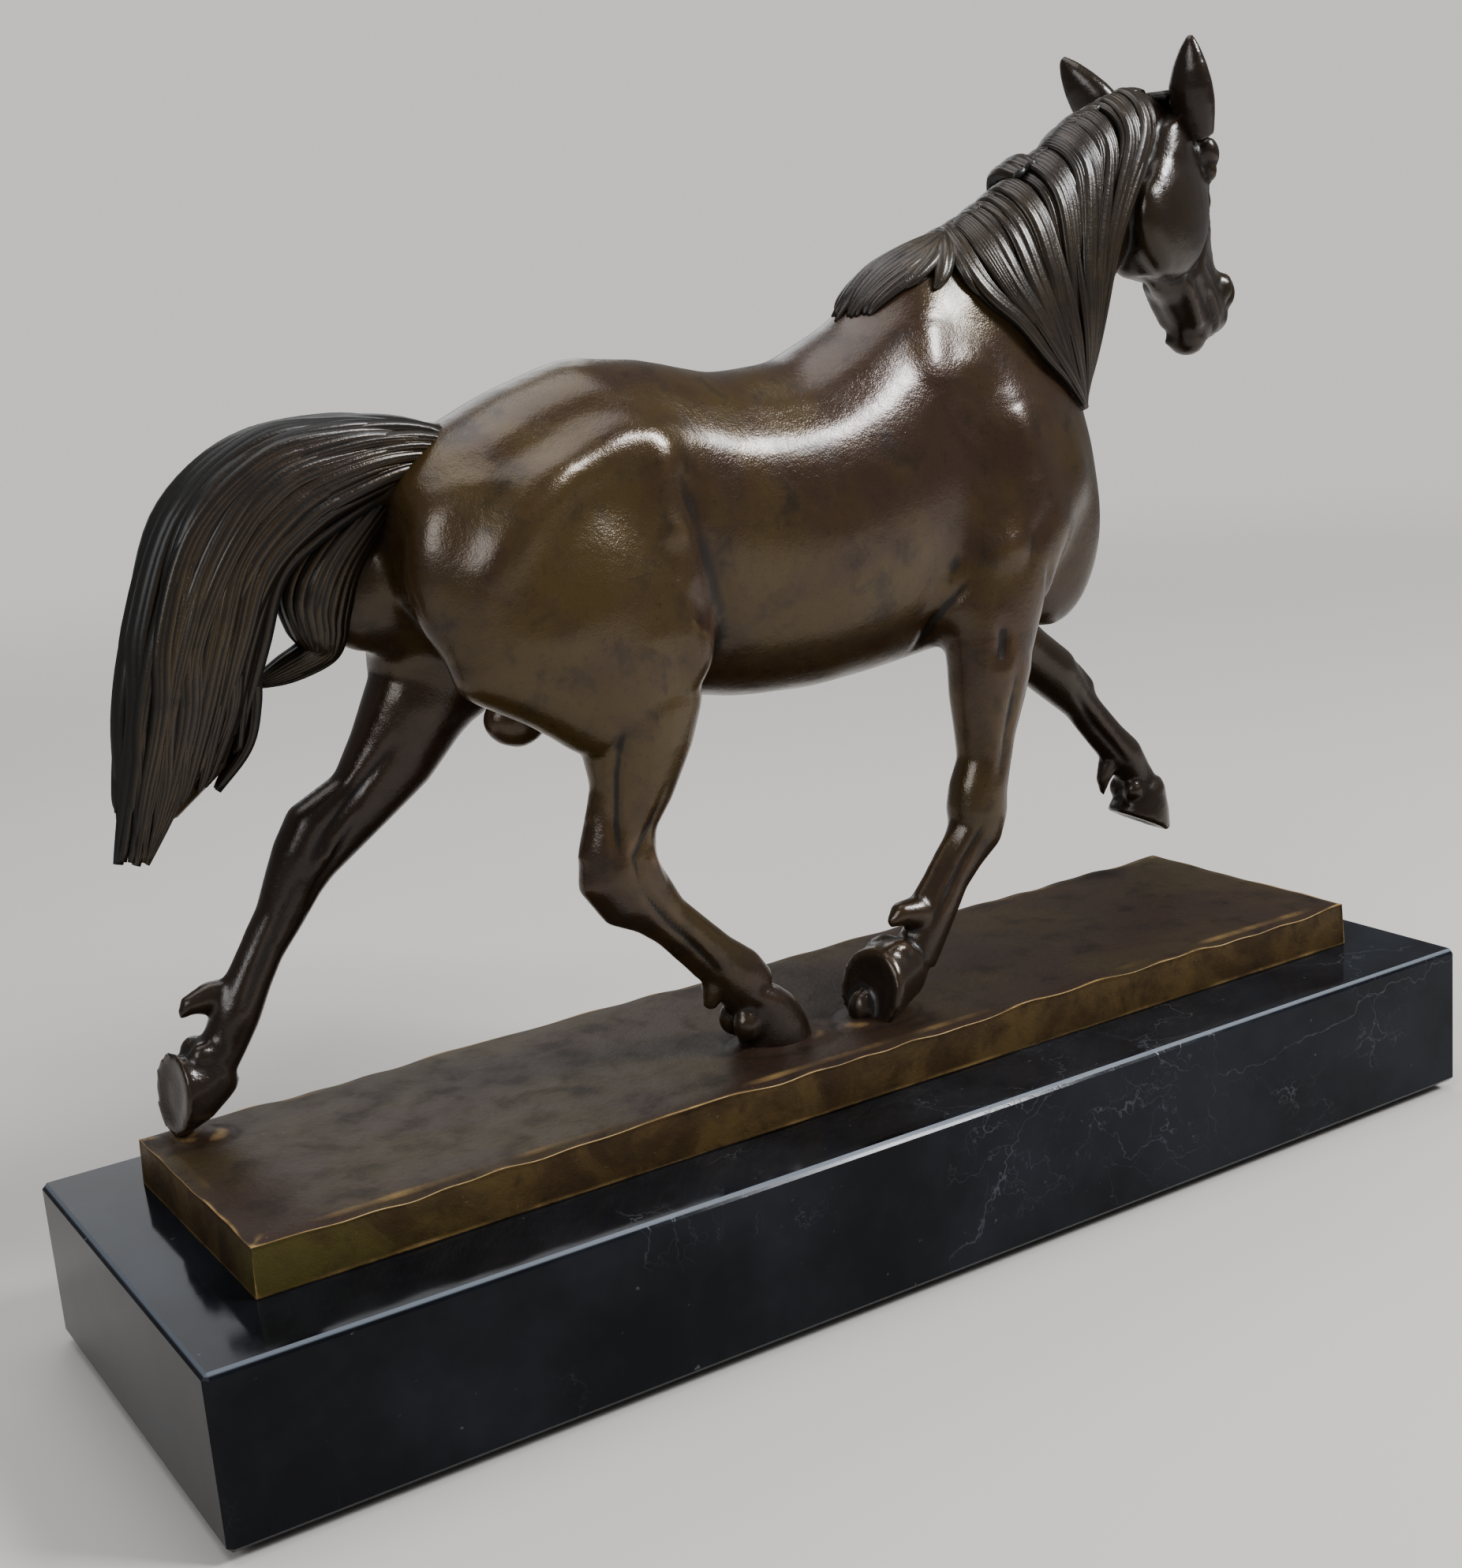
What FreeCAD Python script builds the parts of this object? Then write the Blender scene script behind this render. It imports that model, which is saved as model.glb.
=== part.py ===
import FreeCAD, Part
import math
import os

# Trotting bronze horse, welded up from hollow castings and pinned to a cast bronze plinth,
# which two studs hold down on a black marble base with felt feet.
# Millimetres. Z is up, +X is towards the head, +Y is the horse's left.
# The origin is the middle of the base at the underside of the felt feet.

V = FreeCAD.Vector

# ---- driving dimensions -------------------------------------------------------------------

WITHERS_HEIGHT = 172.0          # top of the withers above the plinth
CASTING_WALL = 4.0              # wall of the hollow body castings
MIDLINE_Y = 7.0                 # the horse stands a little to the left of the base's middle

FOOT_DIAMETER = 20.0            # felt feet
FOOT_THICKNESS = 2.0
FOOT_INSET = 17.0               # from the marble's sides to a foot's middle

MARBLE_HEIGHT = 36.0
MARBLE_END_BORDER = 16.0        # marble showing past the plinth's nearer end
MARBLE_SIDE_BORDER = 17.0
MARBLE_CHAMFER = 1.2

PLINTH_HEIGHT = 11.0
PLINTH_WALL = 4.0
PLINTH_ROUND = 3.0              # upright corners of the plinth
REAR_MARGIN = 8.2               # plinth past the rear toe
FRONT_MARGIN = 12.0             # plinth past the raised front hoof
RIGHT_MARGIN = 19.5             # plinth past the two right hooves
LEFT_MARGIN = 8.5               # plinth past the left hind toe

STUD_DIAMETER = 6.0             # M6 studs, nuts and washers
STUD_FIT = 0.05                 # thread fit, on the radius
STUD_CLEARANCE = 0.5            # free hole in the marble, on the radius
STUD_FROM_END = 52.0            # from the plinth's ends
BOSS_WALL = 4.0                 # metal round a thread or a pin
NUT_ACROSS_FLATS = 10.0
NUT_HEIGHT = 5.0
WASHER_DIAMETER = 18.0
WASHER_THICKNESS = 1.6
WASHER_FIT = 0.2
STUD_PAST_NUT = 2.0
COUNTERBORE_DIAMETER = 22.0
COUNTERBORE_DEPTH = 14.0

PIN_DIAMETER = 3.0              # steel pins in the planted hooves
PIN_IN_HOOF = 5.0
PIN_FIT = 0.05                  # on the radius
PIN_ABOVE_MARBLE = 1.0

# ---- levels and outlines that follow ------------------------------------------------------

SECTIONS_HEIGHT = 172.0         # the height of the withers in the sections below
SECTION_POINTS = 16             # points round a section's smooth outline
SCALE = WITHERS_HEIGHT / SECTIONS_HEIGHT
MARBLE_BOTTOM = FOOT_THICKNESS
MARBLE_TOP = MARBLE_BOTTOM + MARBLE_HEIGHT
PLINTH_TOP = MARBLE_TOP + PLINTH_HEIGHT
PLINTH_CEILING = PLINTH_TOP - PLINTH_WALL

# ---- the horse's sections -----------------------------------------------------------------
# Each is (x, y, z, half depth, half width) with y from the midline and z from the plinth.
# A sixth value turns the section to the horse's left, in degrees.

BARREL = [
    (-86, 0, 124, 12, 12), (-76, 0, 121.5, 22.5, 20), (-60, 0, 121, 30, 24.5),
    (-42, 0, 121, 35.5, 26.5), (-24, 0, 118, 36.7, 26), (-6, 0, 114, 36, 26),
    (12, 0, 114, 37, 26.5), (30, 0, 118.5, 40.5, 25), (48, 0, 125, 45, 22.5),
    (66, 0, 125, 43, 20.5), (82, 0, 121, 35, 18), (94, 0, 117.5, 23, 13),
    (100, 0, 115, 10, 6.5),
]
NECK = [
    (66, 0, 141, 36, 19, 0), (85, 1, 157, 28, 15, 6), (104, 3, 174, 25, 13, 12),
    (119, 3.5, 188.5, 20.5, 11, 14), (129, 4.5, 197, 16, 9.5, 20),
]
NECK_WELD = 1                   # the section where the neck casting meets the torso
HIND_RIGHT = [
    (-58, -12, 132, 20, 13), (-56, -15, 118, 28, 14), (-52, -17, 101, 31, 13.5),
    (-43.5, -18, 88, 22, 12), (-43, -18, 75, 12.3, 9),
    (-44.8, -18, 64.5, 9.6, 7), (-47.5, -17.5, 58.8, 8.4, 6), (-49.5, -17.5, 47.5, 9.8, 6),
    (-46.4, -17.5, 42.4, 9, 5.5), (-38.6, -17.5, 34.6, 5.6, 4.5), (-32.2, -17.5, 28.9, 5, 4.2),
    (-22.5, -17.5, 17.2, 6.8, 5.2), (-17.5, -17.5, 7.6, 7.6, 6.4), (-15.7, -17.5, 0, 9.5, 8),
    (-14.5, -17.5, -6, 10, 8.5),
]
HIND_LEFT = [
    (-60, 12, 132, 20, 13), (-62, 15, 118, 24, 13), (-66, 16.5, 103, 22, 12.5),
    (-72, 16.5, 92, 17, 11), (-78, 16, 84, 12, 9.5),
    (-84.5, 16.5, 74.6, 10.3, 7.5), (-92.2, 17, 66.7, 7.8, 6), (-102.4, 18, 60.4, 8.7, 6),
    (-108.7, 19, 51.5, 6.5, 5.2), (-117, 20.5, 37.9, 4.6, 4.2), (-124.5, 21.5, 24.8, 5.3, 5),
    (-131.5, 22, 15, 6.5, 5.5), (-135, 22.5, 10.5, 7.2, 6.8), (-138.8, 22.5, 1.5, 4.8, 6.5),
    (-140.5, 22.5, -5, 4.5, 6),
]
FORE_RIGHT = [
    (58, -10, 150, 14, 7), (66, -14, 130, 20, 9), (64, -16.5, 105, 19, 9.5),
    (56, -17.5, 88, 14, 9), (54.5, -17.5, 75, 10.9, 8.5),
    (53.3, -17.5, 68.6, 10, 7.6), (50.6, -18.5, 53.3, 6.8, 5.8), (48, -18.5, 44.5, 7.6, 6.4),
    (46.4, -18.8, 36.9, 7, 5.5), (37.2, -19.5, 27.7, 5, 4.2), (27.2, -20, 15.5, 5.6, 5),
    (14.5, -20.5, 8, 8, 7), (9, -20.5, 2, 9, 7.5), (4, -20.5, -5, 9, 7.5),
]
FORE_LEFT = [
    (58, 10, 150, 14, 7), (66, 14, 130, 20, 9), (64, 16.5, 108, 19, 9.5),
    (64, 17, 95, 14, 9), (72, 17, 85, 10.5, 8),
    (84, 17, 76.5, 9, 7.2), (95, 17, 68.5, 7, 6.3), (103, 17, 62, 7, 6.2),
    (109.5, 17, 54.3, 5, 4.8), (121.5, 17, 41, 4.6, 4.3), (126.3, 17, 35.5, 5.4, 4.8),
    (132.5, 17, 24.5, 6.6, 6), (137, 17, 14, 8.2, 7.4),
]
LIMB_WELD = 4                   # the section where a leg casting meets the torso
TAIL = [
    (-73, 0, 142, 5, 5), (-87, 1, 142.5, 8, 8), (-102, 2, 139, 11, 11),
    (-115, 2, 129, 12, 13), (-124, 2, 115, 12, 14), (-129, 2, 100, 13, 14),
    (-133, 2, 84, 11, 13), (-139, 2, 72, 6, 8), (-144, 2, 64, 2.5, 3.5),
]

# The head hangs from the poll along its own axis: (distance down the axis, half width,
# front, back), with front and back measured along the face's normal.
POLL = (135, 4.5, 202)
HEAD_TURN = 22.0                # to the horse's left
HEAD_PITCH = 64.0               # face line below level
HEAD = [
    (0, 8, 4, -12), (6, 10, 6, -17), (14, 11, 7.5, -19), (24, 10.5, 7.2, -20),
    (33, 8.6, 6.3, -18.5), (41, 7, 5.6, -12.5), (48, 6.4, 5.3, -9), (56, 6.6, 5.6, -8),
    (63, 6.2, 4.5, -8), (67, 3.5, 1, -5.5),
]
EAR = [(-4, 4.6, 3.6), (4, 4.8, 3.8), (12, 4.2, 3.0), (19, 2.6, 1.8), (24, 0.8, 0.6)]
EAR_SPREAD = 10.0               # from the head's middle to an ear's root
EAR_DOWN = 4.0                  # an ear's root below the poll, down the face
EAR_BEHIND = 1.0                # and behind the head's axis
EAR_LEAN_OUT = 17.0             # degrees
EAR_LEAN_BACK = 26.0
FORELOCK = [(-3, 3, 2.5), (3, 5.5, 4), (10, 5.5, 4), (16, 3, 2)]
FORELOCK_PROUD = 6.5            # its middle in front of the head's axis

MANE_PROUD = 3.0                # hair standing off the neck's right side and crest
MANE_RISE = (0.3, 0.8, 1.0, 1.0)    # share of it at each neck section, from the withers
MANE_INSIDE = 1.0               # the hair's root inside the neck
PLANTED = {                     # the section of each planted hoof that meets the plinth
    "hind_right": HIND_RIGHT[-2],
    "hind_left": HIND_LEFT[-2],
    "fore_right": FORE_RIGHT[-2],
}
RAISED_HOOF = FORE_LEFT[-1]

# ---- helpers ------------------------------------------------------------------------------


def horse_point(x, y, z):
    """A point of the horse's sections in the part's own frame."""
    return V(x * SCALE, MIDLINE_Y + y * SCALE, PLINTH_TOP + z * SCALE)


def oval(centre, depth_axis, width_axis, half_depth, half_width):
    """A closed smooth section wire, always started on the depth axis."""
    points = []
    for step in range(SECTION_POINTS):
        angle = 2 * math.pi * step / SECTION_POINTS
        points.append(centre + depth_axis * (half_depth * math.cos(angle))
                      + width_axis * (half_width * math.sin(angle)))
    curve = Part.BSplineCurve()
    curve.interpolate(points, PeriodicFlag=True)
    return Part.Wire(curve.toShape())


def section_wires(sections, upright=False):
    """Wires square to the line through the sections' middles, or upright across X."""
    centres = [horse_point(*section[:3]) for section in sections]
    wires = []
    for place, section in enumerate(sections):
        before = centres[max(place - 1, 0)]
        after = centres[min(place + 1, len(centres) - 1)]
        along = V(1, 0, 0) if upright else (after - before).normalize()
        turn = math.radians(section[5]) if len(section) > 5 else 0.0
        across = V(-math.sin(turn), math.cos(turn), 0)
        across = (across - along * across.dot(along)).normalize()
        deep = along.cross(across)
        wires.append(oval(centres[place], deep, across,
                          section[3] * SCALE, section[4] * SCALE))
    return wires


def loft(wires, ruled=False):
    """A closed solid through the wires, smooth or in straight stages."""
    return Part.makeLoft(wires, True, ruled)


def largest(shape):
    """The main solid of a boolean's result, without slivers."""
    return max(shape.Solids, key=lambda solid: solid.Volume)


def cylinder(radius, height, x, y, z):
    return Part.makeCylinder(radius, height, V(x, y, z))


def block(x_from, x_to, y_from, y_to, z_from, z_to):
    return Part.makeBox(x_to - x_from, y_to - y_from, z_to - z_from, V(x_from, y_from, z_from))


# ---- plinth and base outline --------------------------------------------------------------

plinth_rear = PLANTED["hind_left"][0] * SCALE - REAR_MARGIN
plinth_front = RAISED_HOOF[0] * SCALE + FRONT_MARGIN
plinth_right = MIDLINE_Y + PLANTED["fore_right"][1] * SCALE - RIGHT_MARGIN
plinth_left = MIDLINE_Y + PLANTED["hind_left"][1] * SCALE + LEFT_MARGIN
plinth_middle_y = (plinth_right + plinth_left) / 2
half_length = max(-plinth_rear, plinth_front) + MARBLE_END_BORDER
half_width = max(-plinth_right, plinth_left) + MARBLE_SIDE_BORDER
stud_places = {
    "rear": (plinth_rear + STUD_FROM_END, plinth_middle_y),
    "front": (plinth_front - STUD_FROM_END, plinth_middle_y),
}
pin_places = {
    hoof: (section[0] * SCALE, MIDLINE_Y + section[1] * SCALE)
    for hoof, section in PLANTED.items()
}
pin_bottom = MARBLE_TOP + PIN_ABOVE_MARBLE


def make_marble():
    slab = block(-half_length, half_length, -half_width, half_width, MARBLE_BOTTOM, MARBLE_TOP)
    slab = slab.makeChamfer(MARBLE_CHAMFER, slab.Edges)
    for x, y in stud_places.values():
        hole = cylinder(STUD_DIAMETER / 2 + STUD_CLEARANCE, MARBLE_HEIGHT, x, y, MARBLE_BOTTOM)
        pocket = cylinder(COUNTERBORE_DIAMETER / 2, COUNTERBORE_DEPTH, x, y, MARBLE_BOTTOM)
        slab = slab.cut(hole.fuse(pocket))
    return slab


def make_plinth():
    """A cast tray, open below, with bosses for the studs and the hoof pins."""
    tray = block(plinth_rear, plinth_front, plinth_right, plinth_left, MARBLE_TOP, PLINTH_TOP)
    upright = [edge for edge in tray.Edges
               if abs(edge.Vertexes[0].Z - edge.Vertexes[-1].Z) > PLINTH_HEIGHT / 2]
    tray = tray.makeFillet(PLINTH_ROUND, upright)
    hollow = block(plinth_rear + PLINTH_WALL, plinth_front - PLINTH_WALL,
                   plinth_right + PLINTH_WALL, plinth_left - PLINTH_WALL,
                   MARBLE_TOP, PLINTH_CEILING)
    for x, y in stud_places.values():
        hollow = hollow.cut(cylinder(STUD_DIAMETER / 2 + BOSS_WALL, PLINTH_HEIGHT, x, y, MARBLE_TOP))
    for x, y in pin_places.values():
        hollow = hollow.cut(cylinder(PIN_DIAMETER / 2 + BOSS_WALL, PLINTH_HEIGHT, x, y, MARBLE_TOP))
    tray = tray.cut(hollow)
    for x, y in stud_places.values():
        tray = tray.cut(cylinder(STUD_DIAMETER / 2 + STUD_FIT, stud_depth(), x, y, MARBLE_TOP))
    for x, y in pin_places.values():
        tray = tray.cut(cylinder(PIN_DIAMETER / 2 + PIN_FIT, PLINTH_HEIGHT, x, y, pin_bottom))
    return tray


def stud_depth():
    """How far a stud is screwed up into its blind boss."""
    return PLINTH_HEIGHT - PLINTH_WALL / 2


# ---- the horse ----------------------------------------------------------------------------


def hollow_core():
    """The space inside the barrel, one casting wall in from its skin."""
    core = []
    for x, y, z, deep, wide in BARREL[1:-2]:
        wall = CASTING_WALL / SCALE
        core.append((x, y, z, deep - wall, wide - wall))
    return loft(section_wires(core, upright=True))


def make_torso(limb_wires, neck_wires):
    """Barrel with the four stumps that the legs are welded to, and the neck's root."""
    body = loft(section_wires(BARREL, upright=True))
    for wires in limb_wires.values():
        body = body.fuse(loft(wires[:LIMB_WELD + 1], ruled=True))
    body = body.fuse(loft(neck_wires[:NECK_WELD + 1]))
    return largest(body)


def make_leg(wires, body):
    """One leg from its weld down, cut flat where a hoof stands on the plinth."""
    leg = loft(wires[LIMB_WELD:], ruled=True)
    ground = block(-half_length, half_length, -half_width, half_width,
                   MARBLE_BOTTOM, PLINTH_TOP)
    return largest(leg.cut(ground).cut(body))


def head_axes():
    """The head's own axes: down the face, out of the face, and to its left."""
    turn = math.radians(HEAD_TURN)
    pitch = math.radians(HEAD_PITCH)
    ahead = V(math.cos(turn), math.sin(turn), 0)
    down_face = ahead * math.cos(pitch) - V(0, 0, math.sin(pitch))
    off_face = ahead * math.sin(pitch) + V(0, 0, math.cos(pitch))
    return down_face, off_face, V(-math.sin(turn), math.cos(turn), 0)


def make_head():
    down_face, off_face, left = head_axes()
    poll = horse_point(*POLL)
    wires = []
    for down, wide, front, back in HEAD:
        middle = poll + down_face * (down * SCALE) + off_face * ((front + back) / 2 * SCALE)
        wires.append(oval(middle, off_face, left, (front - back) / 2 * SCALE, wide * SCALE))
    return loft(wires)


def make_ear(side, head):
    """A pointed ear; side is +1 for the left and -1 for the right."""
    down_face, off_face, left = head_axes()
    out = math.radians(EAR_LEAN_OUT)
    back = math.radians(EAR_LEAN_BACK)
    ahead = left.cross(V(0, 0, 1))
    up = (V(0, 0, 1) + left * (side * math.tan(out)) - ahead * math.tan(back)).normalize()
    wide = (left - up * left.dot(up)).normalize()
    deep = up.cross(wide)
    root = (horse_point(*POLL) + left * (side * EAR_SPREAD * SCALE)
            + down_face * (EAR_DOWN * SCALE) - off_face * (EAR_BEHIND * SCALE))
    wires = [oval(root + up * (rise * SCALE), deep, wide, half_deep * SCALE, half_wide * SCALE)
             for rise, half_wide, half_deep in EAR]
    return largest(loft(wires).cut(head))


def make_forelock(head):
    """The tuft that falls between the ears on the forehead."""
    down_face, off_face, left = head_axes()
    top = horse_point(*POLL) + off_face * (FORELOCK_PROUD * SCALE)
    wires = [oval(top + down_face * (fall * SCALE), off_face, left,
                  half_deep * SCALE, half_wide * SCALE)
             for fall, half_wide, half_deep in FORELOCK]
    return largest(loft(wires).cut(head))


def make_mane(neck_solid, body, head):
    """Hair on the right side and the crest: the neck moved out by the hair's depth."""
    sections = []
    for place, (x, y, z, deep, wide, turn) in enumerate(NECK[:-1]):
        proud = MANE_PROUD * MANE_RISE[place]
        sections.append((x - proud, y - proud, z + proud, deep - MANE_INSIDE, wide, turn))
    hair = loft(section_wires(sections))
    return largest(hair.cut(body).cut(neck_solid).cut(head))


def make_tail(body):
    return largest(loft(section_wires(TAIL)).cut(body))


# ---- fixings ------------------------------------------------------------------------------

washer_top = MARBLE_BOTTOM + COUNTERBORE_DEPTH
nut_top = washer_top - WASHER_THICKNESS
stud_bottom = nut_top - NUT_HEIGHT - STUD_PAST_NUT
stud_top = MARBLE_TOP + stud_depth()


def make_stud(x, y):
    return cylinder(STUD_DIAMETER / 2, stud_top - stud_bottom, x, y, stud_bottom)


def make_washer(x, y):
    disc = cylinder(WASHER_DIAMETER / 2, WASHER_THICKNESS, x, y, nut_top)
    return disc.cut(cylinder(STUD_DIAMETER / 2 + WASHER_FIT, WASHER_THICKNESS, x, y, nut_top))


def make_nut(x, y):
    corner = NUT_ACROSS_FLATS / math.sqrt(3)
    corners = []
    for step in range(7):
        angle = math.radians(60 * step)
        corners.append(V(x + corner * math.cos(angle), y + corner * math.sin(angle),
                         nut_top - NUT_HEIGHT))
    prism = Part.Face(Part.makePolygon(corners)).extrude(V(0, 0, NUT_HEIGHT))
    thread = cylinder(STUD_DIAMETER / 2 + STUD_FIT, NUT_HEIGHT, x, y, nut_top - NUT_HEIGHT)
    return prism.cut(thread)


def make_foot(x_side, y_side):
    return cylinder(FOOT_DIAMETER / 2, FOOT_THICKNESS,
                    x_side * (half_length - FOOT_INSET), y_side * (half_width - FOOT_INSET), 0)


def make_pin(x, y):
    return cylinder(PIN_DIAMETER / 2, PLINTH_TOP + PIN_IN_HOOF - pin_bottom, x, y, pin_bottom)


def pin_hole(x, y):
    return cylinder(PIN_DIAMETER / 2 + PIN_FIT, PIN_IN_HOOF, x, y, PLINTH_TOP)


# ---- build --------------------------------------------------------------------------------

limbs = {
    "hind_right": section_wires(HIND_RIGHT),
    "hind_left": section_wires(HIND_LEFT),
    "fore_right": section_wires(FORE_RIGHT),
    "fore_left": section_wires(FORE_LEFT),
}
neck_wires = section_wires(NECK)
body = make_torso(limbs, neck_wires)
head = make_head()
neck = largest(loft(neck_wires[NECK_WELD:]).cut(head).cut(body))

nodes = {
    "torso": body.cut(hollow_core()),
    "neck": neck,
    "head": head,
    "ear_left": make_ear(1, head.fuse(neck)),
    "ear_right": make_ear(-1, head.fuse(neck)),
    "forelock": make_forelock(head.fuse(neck)),
    "mane": make_mane(neck, body, head),
    "tail": make_tail(body),
    "bronze_plinth": make_plinth(),
    "marble_base": make_marble(),
}
for limb, wires in limbs.items():
    leg = make_leg(wires, body)
    if limb in pin_places:
        leg = largest(leg.cut(pin_hole(*pin_places[limb])))
        nodes["hoof_pin_" + limb] = make_pin(*pin_places[limb])
    nodes["leg_" + limb] = leg
for end, (x, y) in stud_places.items():
    nodes["stud_" + end] = make_stud(x, y)
    nodes["washer_" + end] = make_washer(x, y)
    nodes["nut_" + end] = make_nut(x, y)
for end, x_side in (("rear", -1), ("front", 1)):
    for hand, y_side in (("right", -1), ("left", 1)):
        nodes["felt_foot_" + end + "_" + hand] = make_foot(x_side, y_side)

os.makedirs("parts", exist_ok=True)
for name, shape in nodes.items():
    shape.exportStep("parts/" + name + ".step")
    print(name, shape.isValid(), len(shape.Solids), round(shape.Volume))
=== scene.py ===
import math
import random

import bmesh
import bpy
import numpy as np
from mathutils import Matrix, Vector
from mathutils.bvhtree import BVHTree


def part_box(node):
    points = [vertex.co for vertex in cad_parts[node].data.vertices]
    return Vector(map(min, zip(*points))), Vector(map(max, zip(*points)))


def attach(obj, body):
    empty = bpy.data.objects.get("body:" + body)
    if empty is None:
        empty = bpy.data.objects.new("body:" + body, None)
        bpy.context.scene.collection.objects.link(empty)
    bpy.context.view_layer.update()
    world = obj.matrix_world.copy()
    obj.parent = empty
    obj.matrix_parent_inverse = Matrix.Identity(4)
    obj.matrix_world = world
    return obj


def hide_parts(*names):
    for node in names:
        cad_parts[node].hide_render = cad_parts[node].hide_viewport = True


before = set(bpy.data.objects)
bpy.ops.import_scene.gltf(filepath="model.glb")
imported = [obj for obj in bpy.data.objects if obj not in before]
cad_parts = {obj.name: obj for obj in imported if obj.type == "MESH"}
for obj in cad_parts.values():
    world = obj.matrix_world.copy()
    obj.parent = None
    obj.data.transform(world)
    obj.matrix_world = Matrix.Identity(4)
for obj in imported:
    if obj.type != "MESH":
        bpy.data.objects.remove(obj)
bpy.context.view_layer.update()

# A trotting bronze horse on a bronze plinth and a black marble base.
# Sizes below are millimetres: x towards the head, y to the horse's left of its midline,
# z up from the plinth's top. spot() turns them into the frame's metres.

MM = 0.001
MIDLINE = 7.0
PLINTH_LOW, PLINTH_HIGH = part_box("bronze_plinth")
MARBLE_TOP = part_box("marble_base")[1].z
SIDES = 20                  # corners of a big form's rings
FINE_SIDES = 12             # and of a thin form's
HOOF_SIDES = 24
EAR_SIDES = 16
FLESH_VOXEL, LIMB_VOXEL, SKIN_VOXEL = 1.6, 0.9, 0.82
EAR_VOXEL, TAIL_VOXEL, PLINTH_VOXEL = 0.6, 1.2, 1.0
EAR_BEND = 0.009            # how far an ear's tip comes forward, by the square of its rise
OUTSIDE = 0.08              # metres from the midline to a place that is outside the skin
CRUMB = 500                 # a loose part with fewer vertices than this is a crumb

# ---- hand tools ---------------------------------------------------------------------------


def spot(x, y, z):
    """A point of the horse in the frame."""
    return Vector((x * MM, (MIDLINE + y) * MM, PLINTH_HIGH.z + z * MM))


def deselect():
    if bpy.context.object and bpy.context.object.mode != "OBJECT":
        bpy.ops.object.mode_set(mode="OBJECT")
    bpy.ops.object.select_all(action="DESELECT")


def pick(*pieces):
    """Select these pieces only, the last one active."""
    deselect()
    for piece in pieces:
        piece.select_set(True)
    bpy.context.view_layer.objects.active = pieces[-1]


def start_form(name):
    """An empty mesh, open for modelling."""
    deselect()
    bpy.ops.object.add(type="MESH", enter_editmode=True, location=(0, 0, 0))
    form = bpy.context.object
    form.name = name
    form.data.name = name
    return form


def end_form(form):
    """Close every open end, turn the faces outwards and leave edit mode."""
    bpy.ops.mesh.select_all(action="SELECT")
    bpy.ops.mesh.fill_holes(sides=0)
    bpy.ops.mesh.select_all(action="SELECT")
    bpy.ops.mesh.normals_make_consistent(inside=False)
    bpy.ops.object.mode_set(mode="OBJECT")
    return form


def axes_of(along, across):
    """A turned frame: x across, y deep, z along."""
    along = along.normalized()
    across = (across - along * across.dot(along)).normalized()
    return Matrix((across, along.cross(across), along)).transposed()


def draw_out(middle, turned, *sizes):
    """Scale what is selected along the axes of a turned frame."""
    bpy.ops.transform.resize(value=sizes, orient_type="GLOBAL", orient_matrix=turned,
                             orient_matrix_type="GLOBAL", constraint_axis=(True, True, True),
                             center_override=middle)


def ring(middle, turned, half_deep, half_wide, sides):
    bpy.ops.mesh.primitive_circle_add(vertices=sides, radius=MM, location=middle,
                                      rotation=turned.to_euler())
    draw_out(middle, turned, half_wide, half_deep, 1)


def bridge_last(sides):
    """Skin between the last two rings."""
    shape = bmesh.from_edit_mesh(bpy.context.object.data)
    shape.verts.index_update()
    first = len(shape.verts) - 2 * sides
    bpy.ops.mesh.select_all(action="DESELECT")
    for edge in shape.edges:
        edge.select = edge.verts[0].index >= first and edge.verts[1].index >= first
    bpy.ops.mesh.bridge_edge_loops()


def bridge_rings(rings, sides=SIDES):
    """Skin over rings: (middle, turned frame, half deep, half wide)."""
    for number, oval in enumerate(rings):
        ring(*oval, sides)
        if number:
            bridge_last(sides)


def skin(sections, upright=False, place=spot, side_axis=Vector((0, 1, 0)), sides=SIDES):
    """Skin over sections (x, y, z, half deep, half wide[, turn in degrees])."""
    middles = [place(*section[:3]) for section in sections]
    rings = []
    for number, section in enumerate(sections):
        before = middles[max(number - 1, 0)]
        after = middles[min(number + 1, len(middles) - 1)]
        along = Vector((1, 0, 0)) if upright else after - before
        across = side_axis.copy()
        if len(section) > 5:
            across.rotate(Matrix.Rotation(math.radians(section[5]), 3, "Z"))
        rings.append((middles[number], axes_of(along, across), section[3], section[4]))
    bridge_rings(rings, sides)


def long_ball(middle, turned, *sizes):
    bpy.ops.mesh.primitive_uv_sphere_add(segments=20, ring_count=12, radius=MM,
                                         location=middle, rotation=turned.to_euler())
    draw_out(middle, turned, *sizes)


def ball(x, y, z, long, wide, high, lean=0.0):
    """A muscle or a bone: a ball drawn out along x, y and z, leant about y."""
    turned = Matrix.Rotation(math.radians(lean), 3, "Y")
    long_ball(spot(x, y, z), turned, long, wide, high)


def apply_modifier(piece, kind, **settings):
    pick(piece)
    bpy.ops.object.modifier_add(type=kind)
    modifier = piece.modifiers[-1]
    for name, value in settings.items():
        setattr(modifier, name, value)
    bpy.ops.object.modifier_apply(modifier=modifier.name)


def melt(form, voxel, rounds):
    """Run overlapping forms into one skin and rub down the joins."""
    apply_modifier(form, "REMESH", mode="VOXEL", voxel_size=voxel * MM)
    apply_modifier(form, "SMOOTH", factor=0.5, iterations=rounds)


def join(target, *others):
    pick(*others, target)
    bpy.ops.object.join()
    return target


def read_points(form):
    points = np.empty(len(form.data.vertices) * 3)
    form.data.vertices.foreach_get("co", points)
    normals = np.empty(len(points))
    form.data.vertices.foreach_get("normal", normals)
    return points.reshape(-1, 3), normals.reshape(-1, 3)


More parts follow.
